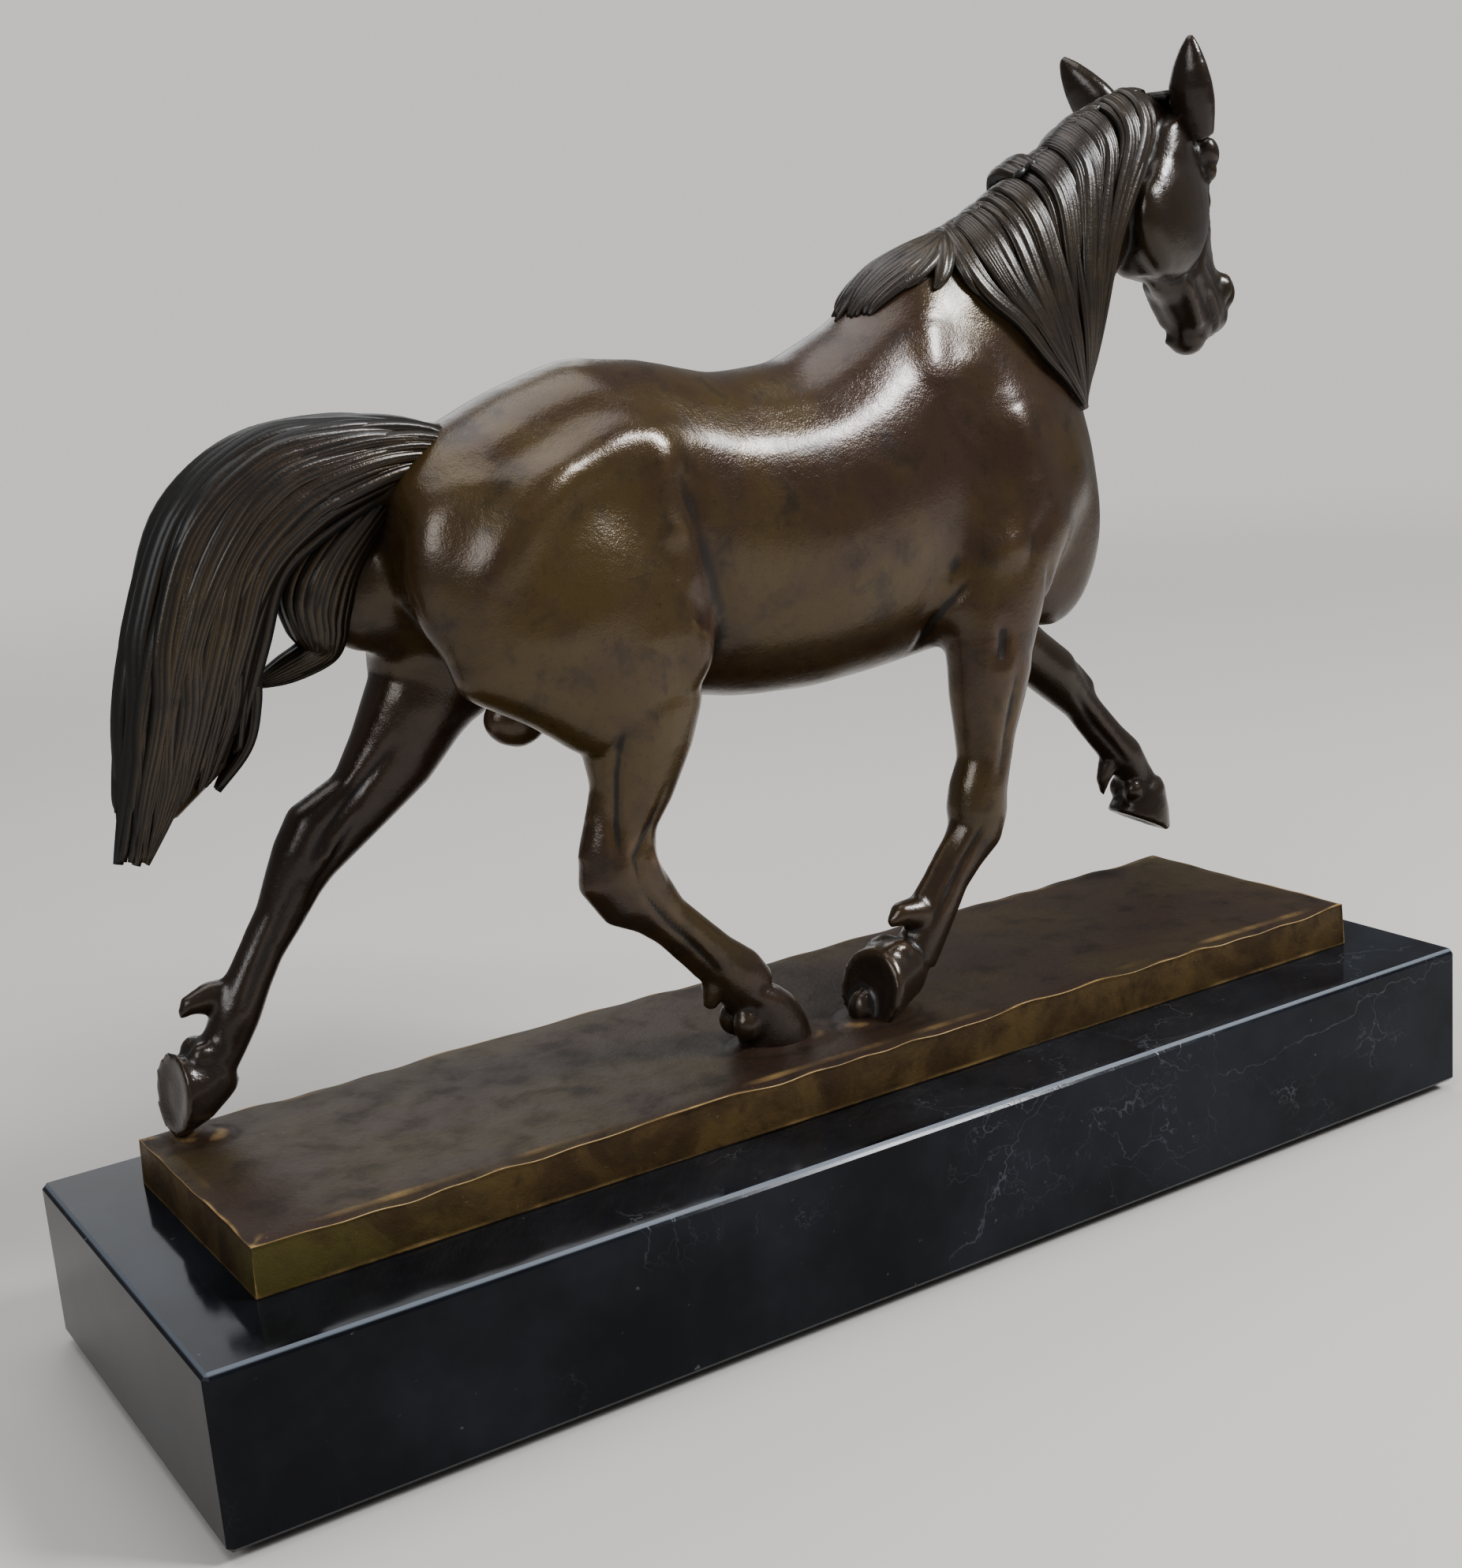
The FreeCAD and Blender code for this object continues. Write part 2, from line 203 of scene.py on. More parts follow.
def write_points(form, points):
    form.data.vertices.foreach_set("co", points.ravel())
    form.data.update()


def surface_line(tree, marks, place, view, steps=6):
    """The skin's points under a line of marks, looking along view from outside."""
    found = []
    for mark in marks:
        target = place(*mark)
        hit = tree.ray_cast(target - view * OUTSIDE, view)[0]
        if hit is None:
            hit = tree.find_nearest(target)[0]
        found.append(np.array(hit))
    line = []
    for start, end in zip(found[:-1], found[1:]):
        for step in range(steps):
            line.append(start + (end - start) * step / steps)
    line.append(found[-1])
    return np.array(line)


def work_lines(form, strokes, place=spot, view_axis=Vector((0, 1, 0))):
    """Press grooves (depth above 0) or raise ridges (below 0) along lines on the skin.

    A stroke is (side, width, depth, marks); side is -1 for the horse's right, 1 for its left.
    """
    tree = BVHTree.FromObject(form, bpy.context.evaluated_depsgraph_get())
    points, normals = read_points(form)
    moved = points.copy()
    for side, width, depth, marks in strokes:
        view = view_axis * -side
        line = surface_line(tree, marks, place, view)
        reach = 2.5 * width * MM
        low, high = line.min(axis=0) - reach, line.max(axis=0) + reach
        near = np.where(np.all((points > low) & (points < high), axis=1))[0]
        if not len(near):
            continue
        gap = np.full(len(near), 1.0)
        ends = len(line) - 1
        place_on = np.zeros(len(near))
        for number in range(ends):
            start, run = line[number], line[number + 1] - line[number]
            share = ((points[near] - start) @ run) / max(run @ run, 1e-12)
            share = np.clip(share, 0, 1)
            away = np.linalg.norm(points[near] - start - share[:, None] * run, axis=1)
            better = away < gap
            gap[better] = away[better]
            place_on[better] = (number + share[better]) / ends
        fade = np.sin(np.pi * np.clip(place_on * 0.94 + 0.03, 0, 1)) ** 0.5
        push = depth * MM * fade * np.exp(-(gap / (width * MM)) ** 2)
        moved[near] -= normals[near] * push[:, None]
    write_points(form, moved)


# ---- the horse's frame --------------------------------------------------------------------

BARREL = [
    (-86, 0, 124, 12, 12), (-76, 0, 121.5, 22.5, 20), (-60, 0, 121, 30, 24.5),
    (-42, 0, 121, 35.5, 26), (-24, 0, 117.2, 37.5, 25), (-6, 0, 113.1, 36.9, 25.5),
    (12, 0, 113.1, 37.9, 26.5), (30, 0, 117.6, 41.4, 25), (48, 0, 124, 46, 21.5),
    (66, 0, 124, 44, 19.5), (82, 0, 120, 36, 18), (94, 0, 116.5, 24, 13),
    (100, 0, 115, 10, 6.5),
]
NECK = [
    (57, 0, 132.5, 38.5, 20, 0), (65.4, 0, 140.8, 37.4, 17.5, 0), (84, 0.5, 157.4, 27.4, 13.5, 6),
    (100.9, 2, 174.2, 20, 11, 12), (114.6, 3.3, 185.6, 18, 10, 14),
    (126.5, 4.5, 193.5, 13.8, 8.6, 20), (135, 6, 198, 10.5, 7.6, 22),
]
THIGH_RIGHT = [
    (-58, -9, 134, 24, 14), (-57, -13, 118, 29, 15), (-53.5, -16.5, 103, 31, 13.5),
    (-45, -17.5, 90, 23, 11.5), (-43.2, -18, 75, 12.3, 9),
]
LEG_HIND_RIGHT = [
    (-44, -15, 98, 9, 6), (-42.6, -17, 88, 18.5, 10.4), (-42, -17.8, 81, 15.8, 10.2),
    (-42.5, -18, 75, 13.1, 9.4), (-44.8, -18, 64.5, 9.6, 7),
    (-47.5, -17.5, 58.8, 8.4, 6), (-49, -17.5, 52.9, 9, 6.2), (-49.5, -17.5, 47.5, 9.8, 6.4),
    (-46.4, -17.5, 42.4, 9, 6), (-41.4, -17.5, 38, 6.8, 5.2), (-38.6, -17.5, 34.6, 5.8, 4.8),
    (-32.2, -17.5, 28.9, 5.2, 4.4), (-27, -17.5, 23.4, 5.4, 4.7), (-22.2, -17.5, 17.8, 7, 5.6),
    (-18.4, -17.5, 12.4, 6.8, 5.6),
]
THIGH_LEFT = [
    (-58, 9, 134, 24, 14), (-62, 13, 118, 26, 14.5), (-66, 16.5, 103, 24, 12.5),
    (-72, 16.5, 92, 17.5, 11), (-78, 16, 84, 12, 9.5),
]
LEG_HIND_LEFT = [
    (-64, 14, 103, 8, 6), (-70, 16, 94, 13, 9.5), (-74.5, 16, 88.5, 13.4, 9.8),
    (-78, 16, 84, 12, 9.5), (-84.5, 16.5, 74.6, 10.3, 7.5),
    (-92.2, 17, 66.7, 8, 6.2), (-102.4, 18, 60.4, 8.9, 6.3), (-106, 18.5, 55.8, 7.6, 6),
    (-108.7, 19, 51.5, 6.6, 5.4), (-112.8, 20, 43.9, 5.4, 4.8), (-117, 20.5, 37.9, 4.8, 4.4),
    (-120.7, 21, 31.7, 5, 4.6), (-124.5, 21.5, 24.8, 5.5, 5.2), (-127.5, 22, 19, 5, 5),
    (-131.5, 22, 15, 6, 5.5),
]
SHOULDER_RIGHT = [
    (50, -8, 152, 13, 7), (64, -13, 130, 20, 9), (64, -15.5, 108, 19, 9.5),
    (56, -17, 88, 14, 9), (54.5, -17.5, 75, 10.9, 8.5),
]
LEG_FORE_RIGHT = [
    (57.5, -13, 99, 7, 5), (56, -16.2, 89, 11.6, 8), (55, -17.2, 82, 11.6, 8.6),
    (54.5, -17.5, 75, 10.9, 8.5), (53.3, -17.5, 68.6, 10, 7.6),
    (51.7, -18, 59.8, 7.9, 6.4), (50.6, -18.5, 53.3, 6.9, 5.9), (48.4, -18.5, 47.3, 7.4, 6.5),
    (47.6, -18.5, 41.8, 7.8, 6.8), (46.4, -18.8, 36.9, 7, 6), (42.2, -19, 32.6, 5.8, 4.9),
    (37.4, -19.5, 27.4, 5.2, 4.4), (32.6, -20, 21.4, 5.7, 4.8), (28.8, -19.8, 15, 5.6, 5),
    (25.6, -19.2, 10, 6, 5.4),
]
SHOULDER_LEFT = [
    (50, 8, 152, 13, 7), (64, 13, 130, 20, 9), (64, 15.5, 108, 19, 9.5),
    (64, 17, 95, 14, 9), (72, 17, 85, 10.5, 8),
]
LEG_FORE_LEFT = [
    (58, 13, 104, 7, 5), (64, 16.2, 95, 11.4, 8), (68, 16.8, 90, 11.2, 8.4),
    (72, 17, 85, 10.5, 8.5), (84, 17, 76.5, 9.2, 7.4),
    (95, 17, 68.5, 7.2, 6.4), (103, 17, 62, 7.2, 6.4), (109.5, 17, 54.3, 5.2, 5),
    (115.5, 17, 48.3, 4.5, 4.3), (121.5, 17, 41, 4.8, 4.5), (126.3, 17, 35.5, 5.6, 5),
    (130, 17, 29.5, 5, 4.7), (131.5, 17, 26, 5.6, 5.2),
]
TAIL = [
    (-68, 0, 138, 7, 6), (-80, 1, 138.5, 8.5, 6.5), (-94, 1.5, 137, 9, 7), (-108, 2, 133, 10.5, 7),
    (-119, 2, 125, 11, 7.5), (-126.5, 2, 111.5, 11.5, 8), (-130.5, 2, 98, 11.5, 8),
    (-134, 2, 86, 9, 6.5), (-140.5, 2, 76, 4, 3.5),
]
POLL = spot(135, 4.5, 202)
HEAD_TURN = math.radians(22)
HEAD_PITCH = math.radians(64)
AHEAD = Vector((math.cos(HEAD_TURN), math.sin(HEAD_TURN), 0))
DOWN_FACE = AHEAD * math.cos(HEAD_PITCH) - Vector((0, 0, math.sin(HEAD_PITCH)))
OFF_FACE = AHEAD * math.sin(HEAD_PITCH) + Vector((0, 0, math.cos(HEAD_PITCH)))
HEAD_LEFT = Vector((-math.sin(HEAD_TURN), math.cos(HEAD_TURN), 0))
HEAD = [
    (0, 8, 3.5, -13), (6, 9.5, 5.6, -22), (14, 10, 6.6, -29), (23, 9.6, 6.4, -32),
    (30, 8.6, 5.8, -30.5), (37, 7.5, 5.2, -25), (44, 6.9, 5, -20), (51, 7.2, 5.6, -17.5),
    (55.5, 7, 5, -16.5), (59, 5.8, 3, -14), (61.6, 3.4, 0, -9),
]


def on_head(down, left, out):
    """A point of the head: down the face from the poll, to its left, and out of the face."""
    return (POLL + DOWN_FACE * (down * MM) + HEAD_LEFT * (left * MM) + OFF_FACE * (out * MM))


def head_skin():
    """The head's mass, skinned over ovals square to the face line."""
    turned = Matrix((HEAD_LEFT, DOWN_FACE.cross(HEAD_LEFT), DOWN_FACE)).transposed()
    bridge_rings([(on_head(down, 0, (front + back) / 2), turned, (front - back) / 2, wide)
                  for down, wide, front, back in HEAD])


def head_ball(down, left, out, long, wide, high, lean=0.0):
    """A ball on the head: long down the face, wide to the side, high out of the face."""
    turned = Matrix((DOWN_FACE, HEAD_LEFT, DOWN_FACE.cross(HEAD_LEFT))).transposed()
    turned = turned @ Matrix.Rotation(math.radians(lean), 3, "Y")
    long_ball(on_head(down, left, out), turned, long, wide, high)


def head_tube(sections):
    """A thin form on the head: (down, left, out, half size) from end to end."""
    skin([(down, left, out, size, size) for down, left, out, size in sections],
         place=on_head, side_axis=HEAD_LEFT, sides=FINE_SIDES)


# ---- the big forms ------------------------------------------------------------------------


def muscle(marks):
    """A soft ridge: (x, y, z, half size) from end to end."""
    skin([(x, y, z, size, size) for x, y, z, size in marks], sides=FINE_SIDES)


def body_mass():
    """Barrel, neck, quarters and shoulders with their muscles, run together."""
    form = start_form("horse")
    skin(BARREL, upright=True)
    skin(NECK)
    for sections in (THIGH_RIGHT, THIGH_LEFT, SHOULDER_RIGHT, SHOULDER_LEFT):
        skin(sections)
    for side in (-1, 1):
        ball(-54, 9 * side, 134, 24, 12, 13)              # gluteal
        ball(-32, 14 * side, 133, 12, 11.5, 9)            # point of the hip
        ball(-12, 7 * side, 138, 26, 8, 8)                # loin
        ball(53, 11 * side, 140, 12, 8, 19, lean=-22)     # shoulder blade
        ball(61, 14.5 * side, 119, 15, 8.5, 16, lean=25)  # triceps
        ball(78, 12.5 * side, 117, 13, 7.5, 15)           # point of the shoulder
        ball(86, 5.5 * side, 103.5, 14.5, 8.5, 25, lean=8)  # breast
        ball(79, 6.5 * side, 90, 10.5, 7, 10.5)           # between the forelegs
        ball(49, 16 * side, 93, 9.5, 7, 9)                # elbow
    muscle([(-34, -19, 137, 4), (-34.5, -21, 129, 5.5), (-33.5, -22.4, 119, 6.2),
            (-31, -23, 109, 6.5), (-29.5, -23, 101, 6.8), (-30, -22, 93, 6.6),
            (-33, -20, 86, 6)])
    ball(-41, -19.5, 98, 13, 10, 12)                      # right stifle
    ball(-73.5, -12, 116, 15, 10, 21)                     # right hamstrings
    ball(-69, -16, 98, 12, 9, 12)
    muscle([(-34, 19, 137, 4), (-37, 21, 129, 5.5), (-41, 22.4, 118, 6.2),
            (-44.5, 22.6, 107, 6.5), (-48.5, 21.6, 97, 6.2), (-54, 20, 89, 5.5)])
    ball(-58, 19, 102, 12, 9, 12)                         # left stifle
    ball(-80, 11, 117, 14, 10, 21)                        # left hamstrings
    ball(-87, 9.5, 113, 14, 8.5, 15, lean=30)
    ball(-61.5, 0, 81, 9, 6, 7, lean=10)                  # sheath
    end_form(form)
    melt(form, FLESH_VOXEL, 34)
    return form


def legs_and_head():
    """The legs down to the pasterns, and the head's bones."""
    form = start_form("limbs")
    for sections in (LEG_HIND_RIGHT, LEG_HIND_LEFT, LEG_FORE_RIGHT, LEG_FORE_LEFT):
        skin(sections)
    head_skin()
    for side in (-1, 1):
        head_ball(21, 4.8 * side, -14.5, 16.5, 6.8, 17, lean=10)    # cheek
        head_ball(20.5, 4.4 * side, -22.5, 13.5, 5.8, 10.5)         # back of the jaw
        head_ball(14.5, 9 * side, 3.4, 4.6, 2.8, 3.2)               # brow
        head_ball(18.5, 9.6 * side, 1.2, 2.6, 1.7, 1.9)             # eye
        head_ball(52.5, 5.2 * side, 2.4, 5, 3.3, 4.2)               # nostril's wing
        head_tube([(19, 9.2 * side, -0.4, 1.0), (26, 8.4 * side, -1.2, 1.7),
                   (35, 7 * side, -1.6, 1.4), (42, 6 * side, -2, 0.6)])
        head_tube([(36, 5 * side, -18, 2.0), (45, 4.6 * side, -15.5, 2.4),
                   (53, 4.2 * side, -14, 2)])
    head_ball(34, 0, 4.2, 20, 3.6, 2.6)                     # nose bone
    head_ball(58.6, 0, -0.6, 4.6, 6.2, 6)                    # upper lip
    head_ball(57, 0, -13.4, 5, 5.2, 4.6)                   # chin
    for marks in (
        # point of the hock and the cord above it, right then left
        [(-53, -18.6, 72, 0.6), (-55.6, -18, 61, 1.7), (-57, -17.6, 53, 2.4), (-54.5, -17.5, 46, 2),
         (-50, -17.5, 41, 0.8)],
        [(-90, 17.6, 77, 0.6), (-100.5, 18, 68, 1.8), (-109.5, 18.6, 60, 2.5),
         (-112, 19, 53.5, 2.2), (-112.5, 19.4, 48, 0.8)],
        # the hock's outer and inner bones
        [(-44, -20, 58, 0.8), (-44.5, -21.2, 50.5, 2.6), (-41.5, -20.2, 44, 2.2),
         (-38, -18.5, 38.5, 0.8)],
        [(-99, 14, 65, 0.8), (-103, 13.8, 58, 2.5), (-107, 15.5, 51.5, 2.2), (-111, 17.5, 45, 0.8)],
        # flexor tendons behind the cannons
        [(-50, -17.5, 43, 0.8), (-44, -17.5, 34.8, 1.8), (-36.5, -17.5, 26.6, 1.8),
         (-31, -17.5, 21, 2.3), (-27.5, -17.5, 16, 1)],
        [(-112.6, 19.6, 52, 0.8), (-118, 20.4, 43, 1.8), (-123, 21, 34.4, 1.8),
         (-127, 21.6, 28.4, 2.3), (-128.5, 22, 23, 1)],
        [(41.5, -18.7, 41, 0.8), (37, -19.2, 34.6, 1.8), (31, -19.8, 28, 1.8),
         (26.6, -20, 22.5, 2.3), (24, -20.3, 17, 1)],
        [(104.5, 17, 56, 0.8), (110.8, 17, 47.6, 1.8), (117, 17, 40, 1.8), (122, 17, 35, 2.2),
         (126, 17, 30, 1)],
        # knees
        [(55, -18.4, 54, 0.8), (54.6, -18.5, 46, 2.4), (53, -18.7, 41, 2.2), (47.5, -19, 36, 0.8)],
        [(103, 17, 67.5, 0.8), (109.5, 17, 62, 2.5), (114.6, 17, 56.6, 2.3), (117, 17, 50, 0.8)],
        # forearms' outer muscle
        [(55, -21.5, 88, 1), (53.5, -22.6, 76, 3), (51.5, -22.6, 64, 2.2), (50, -21.5, 55, 0.8)],
        [(76, 21, 84, 1), (85, 21, 77.5, 3), (94.5, 20.5, 70, 2.2), (101, 20, 63, 0.8)],
    ):
        muscle(marks)
    end_form(form)
    melt(form, LIMB_VOXEL, 3)
    return form


def strokes_on(sides, table):
    """Strokes for these sides (-1 right, 1 left) from (width, depth, (x, z) marks)."""
    return [(side, width, depth, [(x, 0, z) for x, z in marks])
            for side in sides for width, depth, marks in table]


# Grooves (depth above 0) and ridges (below 0), worked into the skin.
BODY_LINES = strokes_on((-1,), [
    (5.0, -1.7, [(-31, 141), (-43, 138), (-55, 133.5), (-64, 128), (-71, 121), (-76, 113)]),
    (7.0, 0.9, [(-40, 129), (-52, 124), (-61, 117), (-65, 109)]),
    (5.0, 0.8, [(-38, 147), (-50, 145), (-62, 140), (-72, 131)]),
    (4.6, -0.9, [(-33, 138), (-32.5, 130), (-31, 120), (-28, 109), (-25.5, 101), (-25, 93)]),
    (3.3, 1.3, [(-28, 137), (-28.6, 130), (-27, 120), (-24, 109), (-22, 102), (-20.5, 94),
                (-22.5, 86)]),
    (5.5, 0.9, [(-82, 101), (-72, 96), (-62, 91), (-52, 87)]),
    (1.8, 1.0, [(46, 97), (41.5, 92), (39.5, 88), (39, 82)]),
    (1.6, 1.2, [(69, 97), (70, 89), (69, 82), (67, 73)]),
    (2.0, 1.2, [(53.5, 86), (53, 82), (52, 78)]),
    (6.5, 0.5, [(72, 146), (75, 136), (76.5, 126), (77, 112)]),
    (3.0, 0.6, [(72, 112), (65, 106), (60, 98)]),
    # gaskin, hock, forearm and tendons
    (1.5, 0.9, [(-50, 80), (-51, 70), (-51.5, 60), (-51.5, 52)]),
    (1.0, 0.7, [(-47, 44), (-41, 35.6), (-34, 27.5), (-29, 21)]),
    (1.0, 0.5, [(-40, 66), (-43.5, 58), (-48.5, 52), (-48, 46)]),
    (1.0, 0.6, [(-96, 64), (-100, 58), (-105, 52), (-108, 46)]),
    (1.6, 0.8, [(57, 76), (55, 66), (52.5, 56), (50.5, 50)]),
    (1.0, 0.7, [(45, 40), (39.5, 33), (33.5, 26), (28.5, 20)]),
]) + strokes_on((1,), [
    (5.0, -1.7, [(-31, 141), (-44, 138), (-58, 133.5), (-69, 128), (-78, 121), (-84, 113)]),
    (3.6, -1.2, [(-33, 138), (-35, 129), (-38.5, 118), (-42, 107), (-46, 97)]),
    (3.3, 1.2, [(-28, 139), (-31, 129), (-34.5, 118), (-38, 107), (-42, 96), (-48, 87)]),
    (5.5, 0.8, [(-87, 104), (-78, 98), (-68, 92), (-58, 87)]),
    (1.8, 1.0, [(50, 97), (47, 92), (48, 86)]),
    (6.0, 0.5, [(62, 150), (74, 140), (86, 134), (95, 140)]),
    (1.4, 0.8, [(80, 79.5), (90, 72), (99, 65)]),
]) + strokes_on((-1, 1), [
    (7.0, -0.8, [(-32, 140), (-22, 137), (-12, 133), (2, 131.5), (18, 134), (32, 139)]),
    (5.0, 0.8, [(43, 139), (46, 132), (51.5, 125), (56.5, 118), (55, 110)]),
    (4.2, -0.8, [(45, 157), (43, 149), (42, 142)]),
    (5.0, -0.9, [(42, 139.5), (50, 144.5), (60, 147.5)]),
    (4.5, -1.0, [(64, 136), (66, 127), (66, 118)]),
    (4.0, -1.0, [(50, 101), (57, 104), (63, 103)]),
    # both faces of the left legs
    (1.5, 0.9, [(-86, 79), (-95, 70), (-103, 62.5), (-107, 56)]),
    (1.0, 0.7, [(-109.5, 52), (-115, 43), (-120, 34.5), (-124, 27)]),
    (1.0, 0.7, [(106, 56.5), (113, 47), (119, 40), (124, 34)]),
])
HEAD_LINES = strokes_on((-1, 1), [     # marks down the face and out of it
    (1.6, 1.3, [(33, -30), (37.5, -22), (37, -12), (31, -4), (22, -1)]),
    (1.0, 1.9, [(63.6, -7.2), (57.5, -7.6), (51, -8.2), (47.5, -8.8)]),
    (1.2, 1.6, [(51, 4.6), (54, 2.6), (55.4, 0)]),
    (0.7, 0.9, [(15, 0.6), (17, 3), (20, 3.4), (22, 1.6)]),
    (0.7, 0.9, [(15.6, -0.8), (18.6, -1.2), (21.6, 0.4)]),
    (1.6, 0.7, [(50, -1), (44, -4), (38.5, -7.5)]),
    (1.6, 0.7, [(53, -10.5), (47, -12), (40, -14)]),
])


# ---- hooves and tufts ---------------------------------------------------------------------

# Each hoof is rings from coronet to sole: (x, y, z, tilt, half long, half wide), the tilt being
# the ring's lean from level towards the head, in degrees.
HOOVES = {
    "hind_right": [
        (-18.4, -17.5, 14.5, 14, 6.8, 5.7), (-16.4, -17.5, 12, 12, 7.7, 6.7),
        (-15.6, -17.5, 10.4, 9, 7.8, 6.8), (-13.8, -17.6, 5, 3, 8.3, 7.4),
        (-13, -17.6, -0.5, 0, 8.9, 7.9), (-13, -17.6, -1.5, 0, 8.9, 7.9),
    ],
    "fore_right": [
        (24.6, -18.6, 9.6, 76, 6.4, 5.8), (21.6, -19.5, 9, 84, 7.9, 7.1),
        (20.2, -19.9, 8.7, 88, 8, 7.2), (15.4, -21.2, 7.8, 95, 9, 8),
        (11.2, -22.4, 7, 101, 9.8, 8.7), (10.3, -22.6, 6.9, 101, 9.4, 8.3),
    ],
    "hind_left": [
        (-129.5, 22.4, 14.5, 48, 5.6, 5.2), (-131.3, 22.5, 13.2, 50, 6.8, 6.4),
        (-132.6, 22.5, 12.2, 54, 7.0, 6.5), (-136, 22.5, 10.8, 72, 8.2, 7.2),
        (-139.6, 22.5, 10.2, 96, 9.6, 7.8), (-140.4, 22.5, 10.2, 97, 9.2, 7.5),
    ],
    "fore_left": [
        (132.4, 17, 27.2, -6, 5.6, 5.2), (132.6, 17, 25, 0, 6.8, 6.2),
        (132.5, 17, 23.6, 4, 7.0, 6.4), (132, 17, 20.4, 14, 8.4, 7.2),
        (131.4, 17, 16.8, 26, 9.9, 7.8), (131, 17, 15.9, 27, 9.4, 7.4),
    ],
}
HOOF_TURNS = {"fore_right": 18, "hind_left": 10}
TUFTS = [
    [(-24, -17.5, 19, 4.5, 4), (-28.5, -17.5, 15.5, 3.2, 2.8), (-30, -17.5, 11.5, 1.4, 1.3)],
    [(-124, 22, 28, 5, 3.6), (-130, 22.5, 29.4, 3.6, 2.8), (-134.4, 22.5, 28.6, 2.2, 2),
     (-136.4, 22.5, 26.6, 0.7, 0.7)],
    [(31, -20, 19, 5, 4.4), (26, -20.5, 21.8, 4, 3.6), (21.2, -20.8, 22.4, 2.9, 2.6),
     (18.2, -21, 20.6, 0.9, 0.9)],
    [(125, 17, 36, 4.5, 3.6), (120.6, 17, 33.4, 3, 2.6), (118.8, 17, 29.6, 2, 1.8),
     (118.6, 17, 25.6, 0.6, 0.6)],
]


def feet():
    """Hooves, heel bulbs and the tufts behind the fetlocks."""
    form = start_form("feet")
    for name, sections in HOOVES.items():
        turn = math.radians(HOOF_TURNS.get(name, 0))
        across = Vector((-math.sin(turn), math.cos(turn), 0))
        rings = []
        for x, y, z, tilt, long, wide in sections:
            lean = math.radians(tilt)
            along = Vector((-math.sin(lean) * math.cos(turn), -math.sin(lean) * math.sin(turn),
                            -math.cos(lean)))
            rings.append((spot(x, y, z), axes_of(along, across), long, wide))
        for share, depth in ((0.84, 0.1), (0.45, 0.7)):     # the sole, a little hollow
            rings.append((spot(x, y, z) - along * (depth * MM), axes_of(along, across),
                          long * share, wide * share))
        bridge_rings(rings, HOOF_SIDES)
    for sections in TUFTS:
        skin(sections, sides=FINE_SIDES)
    for side in (-1, 1):                                    # heels
        ball(-22, -17.5 + 3 * side, 6.5, 3.6, 3, 4)
        ball(18.4, -20.5 + 3 * side, 14.4, 4.4, 2.8, 3)
        ball(-133.4, 22.5 + 2.8 * side, 17.8, 3.2, 2.8, 3.2)
        ball(127.2, 17 + 2.6 * side, 25.6, 3, 2.8, 3.4)
    ball(9.2, -20.6, 2, 3.2, 3.4, 5)                        # the weld at the raised hoof's toe
    end_form(form)
    return form


# ---- ears and hair ------------------------------------------------------------------------

EAR = [
    (-6, 5.0, 4.0), (0, 6.2, 4.6), (4, 6.6, 4.7), (9, 6.2, 4.3), (14, 4.9, 3.5),
    (18.5, 3.2, 2.5), (21.4, 1.7, 1.5), (22.8, 0.8, 0.8),
]


def make_ear(name, side, out, back, root, size):
    """A pointed ear with its cup open to the front; out and back are its lean in degrees."""
    up = (Vector((0, 0, 1)) + HEAD_LEFT * (side * math.tan(math.radians(out)))
          - AHEAD * math.tan(math.radians(back))).normalized()
    form = start_form(name)
    turned = axes_of(up, HEAD_LEFT)
    rings = []
    for rise, wide, deep in EAR:
        bend = AHEAD * (EAR_BEND * rise * rise * MM)
        rings.append((root + (up * (rise * MM) + bend) * size, turned, deep * size, wide * size))
    bridge_rings(rings, EAR_SIDES)
    end_form(form)
    melt(form, EAR_VOXEL, 5)
    points, _ = read_points(form)
    cup_way = (AHEAD + HEAD_LEFT * (0.55 * side)).normalized()
    for number in range(len(points)):
        away = Vector(points[number]) - root
        rise = away.dot(up) / (MM * size)
        if not 0.5 < rise < 17:
            continue
        beside = away - up * away.dot(up) - AHEAD * (EAR_BEND * rise * rise * MM * size)
        front = beside.dot(cup_way) / (MM * size)
        off = (beside - cup_way * beside.dot(cup_way)).length / (MM * size)
        half = max(0.3, 4.2 * (1 - ((rise - 6) / 11.5) ** 2))
        if front > 0 and off < half:
            depth = min(front, 3.4) * 0.95 * (1 - (off / half) ** 3)
            points[number] -= np.array(cup_way) * depth * MM * size
    write_points(form, points)
    apply_modifier(form, "SMOOTH", factor=0.5, iterations=2)
    return form


def smooth_path(marks, count):
    """Points on a smooth curve through the marks."""
    marks = [np.array(mark, dtype=float) for mark in marks]
    marks = [2 * marks[0] - marks[1]] + marks + [2 * marks[-1] - marks[-2]]
    spans = len(marks) - 3
    path = []
    for number in range(count):
        where = number / (count - 1) * spans
        span = min(int(where), spans - 1)
        t = where - span
        a, b, c, d = marks[span:span + 4]
        path.append(0.5 * (2 * b + (c - a) * t + (2 * a - 5 * b + 4 * c - d) * t * t
                           + (3 * b - a - 3 * c + d) * t ** 3))
    return np.array(path)


